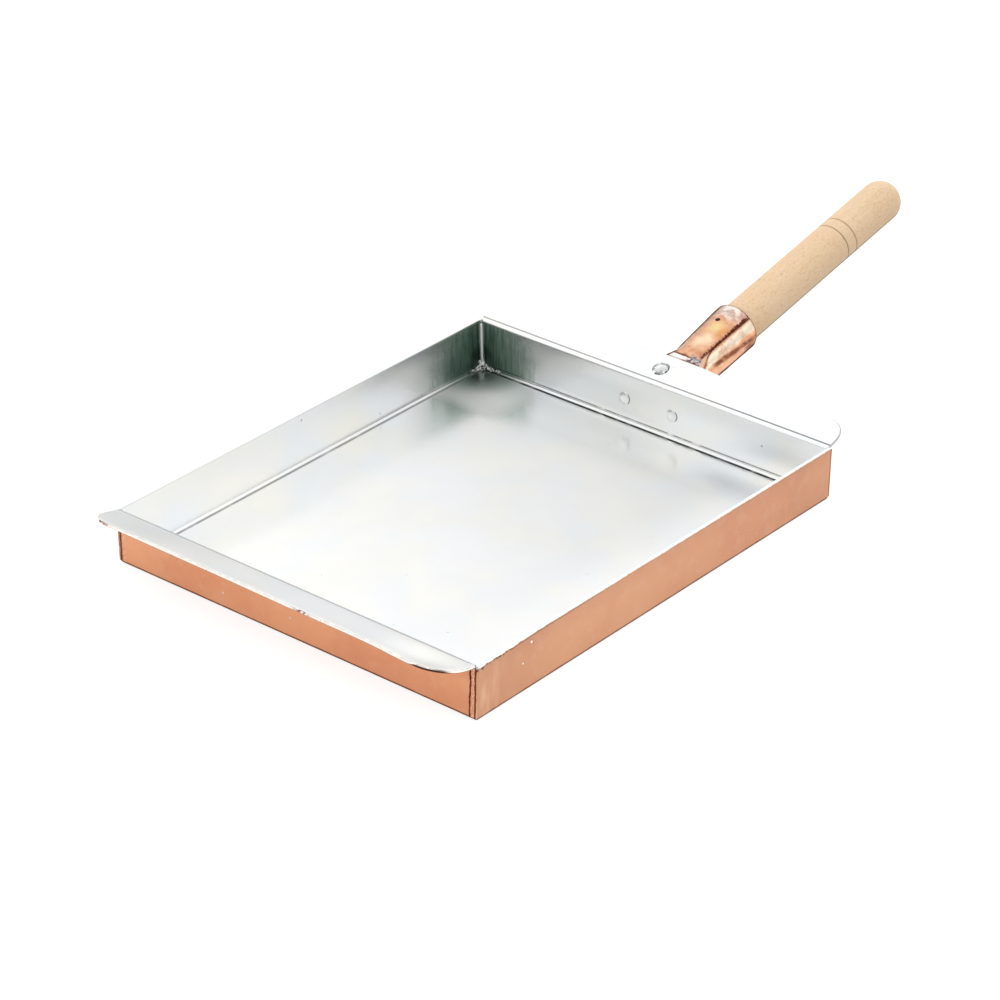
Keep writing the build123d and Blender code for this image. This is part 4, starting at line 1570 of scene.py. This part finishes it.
def socket_dirt_and_shade(finish, place, s, angle, radius, blots):
    """Pairs of a share and a colour for dirt, tin and painted shade, and where it is matt."""
    jag = 9 * (finish.noise(place, 1.1, detail=2) - 0.5)
    freckles = finish.noise(place, 1.3, detail=3, roughness=0.6)
    from_seam = abs(angle + 0.5 * jag - seam_degrees) - jag
    halo = from_seam.between(9, 3) * s.between(24, 30)
    seam_width = 3.8 + 1.2 * s.between(45, 60)
    seam_dirt = (from_seam - seam_width).between(0, -2) * s.between(23, 27)
    wavy = s + 1.6 * (blots - 0.5)
    apron = wavy.between(22.7, 22.4) * angle.near(5, 62)
    border = wavy.near(22.95, 0.75, 0.25) * angle.near(5, 62, 40)
    spots = s.between(27, 22) * angle.near(40, 18, 8)
    # Painted shadow on the leaf under the flange's edge.
    above_flange = finish.vector("DOT_PRODUCT", place, sill_shadow_up)
    sill_shadow = above_flange.between(102.9, 102.4) * s.between(27, 24)
    sill_shadow = sill_shadow * (0.5 + 0.5 * angle.between(12, 22) * freckles.between(0.62, 0.5))
    rim = s.between(socket_reach - 0.8, socket_reach - 0.3)
    inner = radius.between(10.75, 10.6) * angle.near(60, 60)
    # Painted shade lines down the tube's two outer sides and along the lip.
    outline = angle.near(-47, 25, 17).most(angle.near(132, 24, 16)) * s.between(21, 24)
    lip_height = finish.vector("DOT_PRODUCT", place, lip_up)
    lip = lip_height.between(34.0, 34.5) * s.between(26, 24) * angle.between(10, 0)
    outline = outline.most(lip) * (0.6 + 0.4 * blots.between(0.4, 0.55))
    left = angle.between(-18, -36)
    coats = (
        (halo * 0.6, (0.42, 0.15, 0.08)),
        (seam_dirt * 0.95, (0.14, 0.035, 0.016)),
        (apron, (0.95, 0.92, 0.89)),
        (border * 0.9, (0.20, 0.08, 0.06)),
        (spots * freckles.between(0.40, 0.48), (0.42, 0.42, 0.44)),
        (spots * freckles.between(0.53, 0.58), (0.10, 0.055, 0.045)),
        (sill_shadow * 0.9, (0.20, 0.09, 0.06)),
        (rim * 0.85, (0.16, 0.07, 0.05)),
        (inner * 0.7, (0.78, 0.46, 0.36)),
        (outline * 0.9, (0.13, 0.05, 0.03)),
    )
    matt = (seam_dirt, border * 0.7, outline * 0.95, rim * 0.7, left * 0.5, sill_shadow * 0.7)
    return coats, strongest(*matt)


# %% [markdown]
# Both lists of coats go over a copper that varies in blots. A soft bump from the same noises
# gives the sheet the small dents of the mallet that closed it round a bar.

# %% Socket: the finish
def socket_finish(name):
    finish, place = new_finish(name)
    s, x, h = handle_places(finish, place)
    angle = x.math("ARCTAN2", x, h) * (180 / pi)
    radius = (x * x + h * h).root()
    clouds = finish.noise(place, 9, detail=4, roughness=0.6)
    blots = finish.noise(place, 3.2, detail=4, roughness=0.65)
    heat, brown = heat_and_light_coats(finish, place, s, angle, clouds, blots)
    dirt, matt = socket_dirt_and_shade(finish, place, s, angle, radius, blots)
    colour = finish.mix(blots.between(0.3, 0.7), (0.62, 0.27, 0.15), (0.84, 0.47, 0.29))
    colour = finish.coats(colour, *heat, *dirt)
    normal = finish.bump(blots, 0.06)
    normal = finish.bump(clouds, 0.35, normal)
    return finish.metal(colour, 0.20 + 0.14 * clouds, normal, matt.most(brown * 0.25))


stained_copper = socket_finish("heat-stained copper")

# %% [markdown]
# The grip is unfinished beech. Its mark is the flecks: short brown rays that lie along the
# grain, a millimetre or two long. Under them runs a faint straight grain, and the wood is a
# little darker and redder in some stretches. The grooves are darker. Painted shade lies on the
# side that turns away, towards the upper left, and next to the socket's mouth.

# %% Beech
# The way across the grip as the camera sees it, to its lower right: a unit step in x and h.
across_x, across_h = 0.736, 0.677


def beech_finish(name):
    finish, place = new_finish(name)
    s, x, h = handle_places(finish, place)
    along = finish.node("ShaderNodeCombineXYZ", None, {0: x, 1: s, 2: h})["Vector"]
    drift = finish.noise(along, 30, detail=2)
    grain = finish.noise(along, 0.9, detail=3, roughness=0.6, stretch=(1, 22, 1))
    rings = finish.noise(along, 3.2, detail=2, stretch=(1, 26, 1))
    rays = finish.noise(along, 0.75, detail=2, roughness=0.6, stretch=(1, 2.2, 1))
    pores = finish.noise(along, 1.6, detail=3, roughness=0.6, stretch=(1, 1.8, 1))
    few = finish.specks(s * 0.5, x - h, 15, 0.45)
    grooves = strongest(*[s.near(groove_place, 0.55) for groove_place in groove_places])
    side = (across_x * x - across_h * h) / grip_radius
    beyond = (s - dome_start).most(0.0) / grip_radius
    outward = (side * side + beyond * beyond).root()
    # Painted shade on the side that turns away and next to the socket's mouth.
    turned_away_shade = outward.between(0.90, 0.97) * side.between(-0.5, 0.1)
    mouth_shade = s.between(66, socket_reach)
    colour = finish.mix(drift.between(0.3, 0.7), (0.90, 0.64, 0.39), (0.94, 0.70, 0.46))
    colour = finish.coats(
        colour,
        (rings.between(0.42, 0.62) * 0.25, (0.88, 0.57, 0.31)),
        (grain.between(0.5, 0.75) * 0.25, (0.76, 0.48, 0.26)),
        (pores.between(0.50, 0.64) * 0.22, (0.80, 0.50, 0.28)),
        (rays.between(0.55, 0.68) * 0.40, (0.66, 0.37, 0.17)),
        (rays.between(0.44, 0.32) * 0.35, (0.98, 0.78, 0.56)),
        (few * 0.5, (0.40, 0.21, 0.11)),
        (grooves * 0.75, (0.40, 0.22, 0.12)),
    )
    shades = (turned_away_shade * 0.8, (0.46, 0.38, 0.31)), (mouth_shade * 0.6, (0.72, 0.62, 0.55))
    colour = finish.tints(colour, *shades)
    normal = finish.bump(grain, 0.05)
    normal = finish.bump(rays, 0.04, normal)
    roughness = 0.52 + 0.12 * (grain - 0.5)
    return finish.principled({"Base Color": colour, "Roughness": roughness, "Normal": normal})


turned_beech = beech_finish("turned beech")

# %% [markdown]
# The nail is plain steel gone dark in the flame, so in its hole it is nearly black.

# %% Nail
def nail_finish(name):
    finish, place = new_finish(name)
    rust = finish.noise(place, 0.5, detail=3)
    colour = finish.mix(rust.between(0.35, 0.65), (0.035, 0.022, 0.018), (0.10, 0.055, 0.04))
    inputs = {"Base Color": colour, "Normal": finish.bump(rust, 0.05)}
    return finish.principled({**inputs, "Metallic": 0.6, "Roughness": 0.7})


burnt_steel = nail_finish("burnt steel")

# %% [markdown]
# A finish is found by the place on the pan, so one material serves a whole piece, with all its
# stains and painted shade, and the three rivets share theirs.

# %% Each piece gets its finish
for piece, material in (
    (pan_sheet, copper_sheet),
    (tin_lining, wiped_tin),
    (corner_solder, frozen_solder),
    (wall_rivets, tinned_rivet),
    (flange_rivet, tinned_rivet),
    (handle_socket, stained_copper),
    (grip, turned_beech),
    (nail, burnt_steel),
):
    piece.data.materials.append(material)
    print(piece.name, "is finished in", material.name)

# %% [markdown]
# The camera stands to the right of the front and looks down at 29 degrees, through a long lens.
# Its place was fitted to the corners, rims and flange edges in the photograph.

# %% Camera
azimuth, elevation, distance = radians(39.91), radians(28.94), 1.6657
target = Vector((-0.00962, 0.02497, 0.0006))
away = Vector((sin(azimuth) * cos(elevation), -cos(azimuth) * cos(elevation), sin(elevation)))
camera_data = bpy.data.cameras.new("camera")
camera_data.lens = 140.44
camera_data.clip_end = 20
camera = bpy.data.objects.new("camera", camera_data)
camera.location = target + away * distance
camera.rotation_euler = (-away).to_track_quat("-Z", "Y").to_euler()
bpy.context.scene.collection.objects.link(camera)
bpy.context.scene.camera = camera
print("camera stands at", [round(v, 3) for v in camera.location])

# %% [markdown]
# Polished metal shows its surroundings, so the studio is part of the picture. The photograph
# was taken in a white tent: white all round and above, greyer low down and behind the pan, and
# dark only where the camera looked in. The world paints just that, by direction.

# %% White tent
def paint_tent(world):
    """The light is 1.11 from 25 degrees up, less low down, and 0.05 towards the camera.

    At the table's level it is 0.90 in front of the pan and 0.71 behind it. The dark hole is
    full within 12 degrees of the camera's direction and gone at 32.
    """
    tent = Finish(world)
    direction = tent.node("ShaderNodeTexCoord")["Generated"]
    _, behind, height = tent.axes(direction)
    to_camera = tent.vector("DOT_PRODUCT", direction, tuple(away))
    high_level = 1.11
    low_level = 0.90 - 0.19 * behind.between(0.1, 0.7)
    wall = low_level + (high_level - low_level) * height.between(0.02, 0.42)
    hole = to_camera.between(cos(radians(32)), cos(radians(12)))
    level = wall * (1 - hole) + 0.05 * hole
    inputs = {"Color": (1.0, 1.0, 1.0), "Strength": level}
    light = tent.node("ShaderNodeBackground", None, inputs)["Background"]
    tent.node("ShaderNodeOutputWorld", None, {"Surface": light})


tent_world = bpy.data.worlds.new("white tent")
bpy.context.scene.world = tent_world
paint_tent(tent_world)
bpy.context.scene.view_settings.view_transform = "Standard"
print("the tent is built from", len(tent_world.node_tree.nodes), "nodes")

# %% [markdown]
# The table is a plain pale sheet. It glows a little for the camera and in mirrors, so it looks
# as white as the tent, and keeps the soft shadow that a matt white has.

# %% Pale table
def table_finish(name):
    """Matt white for the tent's light, with a glow of its own for whoever looks at it."""
    finish = Finish(bpy.data.materials.new(name))
    seen = finish.node("ShaderNodeLightPath")
    rays = ("Is Camera Ray", "Is Glossy Ray", "Is Transmission Ray")
    looked_at = strongest(*[seen[ray] for ray in rays])
    matt = finish.node("ShaderNodeBsdfDiffuse", None, {"Color": (0.50, 0.50, 0.50)})["BSDF"]
    inputs = {"Color": (1.0, 1.0, 1.0), "Strength": 0.78 * looked_at}
    glow = finish.node("ShaderNodeEmission", None, inputs)["Emission"]
    both = finish.node("ShaderNodeAddShader", None, {0: matt, 1: glow})["Shader"]
    finish.node("ShaderNodeOutputMaterial", None, {"Surface": both})
    return finish.owner


reach = 6.0
table_mesh = bpy.data.meshes.new("table")
corners = [(-reach, -reach, 0), (reach, -reach, 0), (reach, reach, 0), (-reach, reach, 0)]
table_mesh.from_pydata(corners, [], [(0, 1, 2, 3)])
table_mesh.materials.append(table_finish("pale table"))
table = bpy.data.objects.new("table", table_mesh)
bpy.context.scene.collection.objects.link(table)
print("table is", 2 * reach, "m wide")
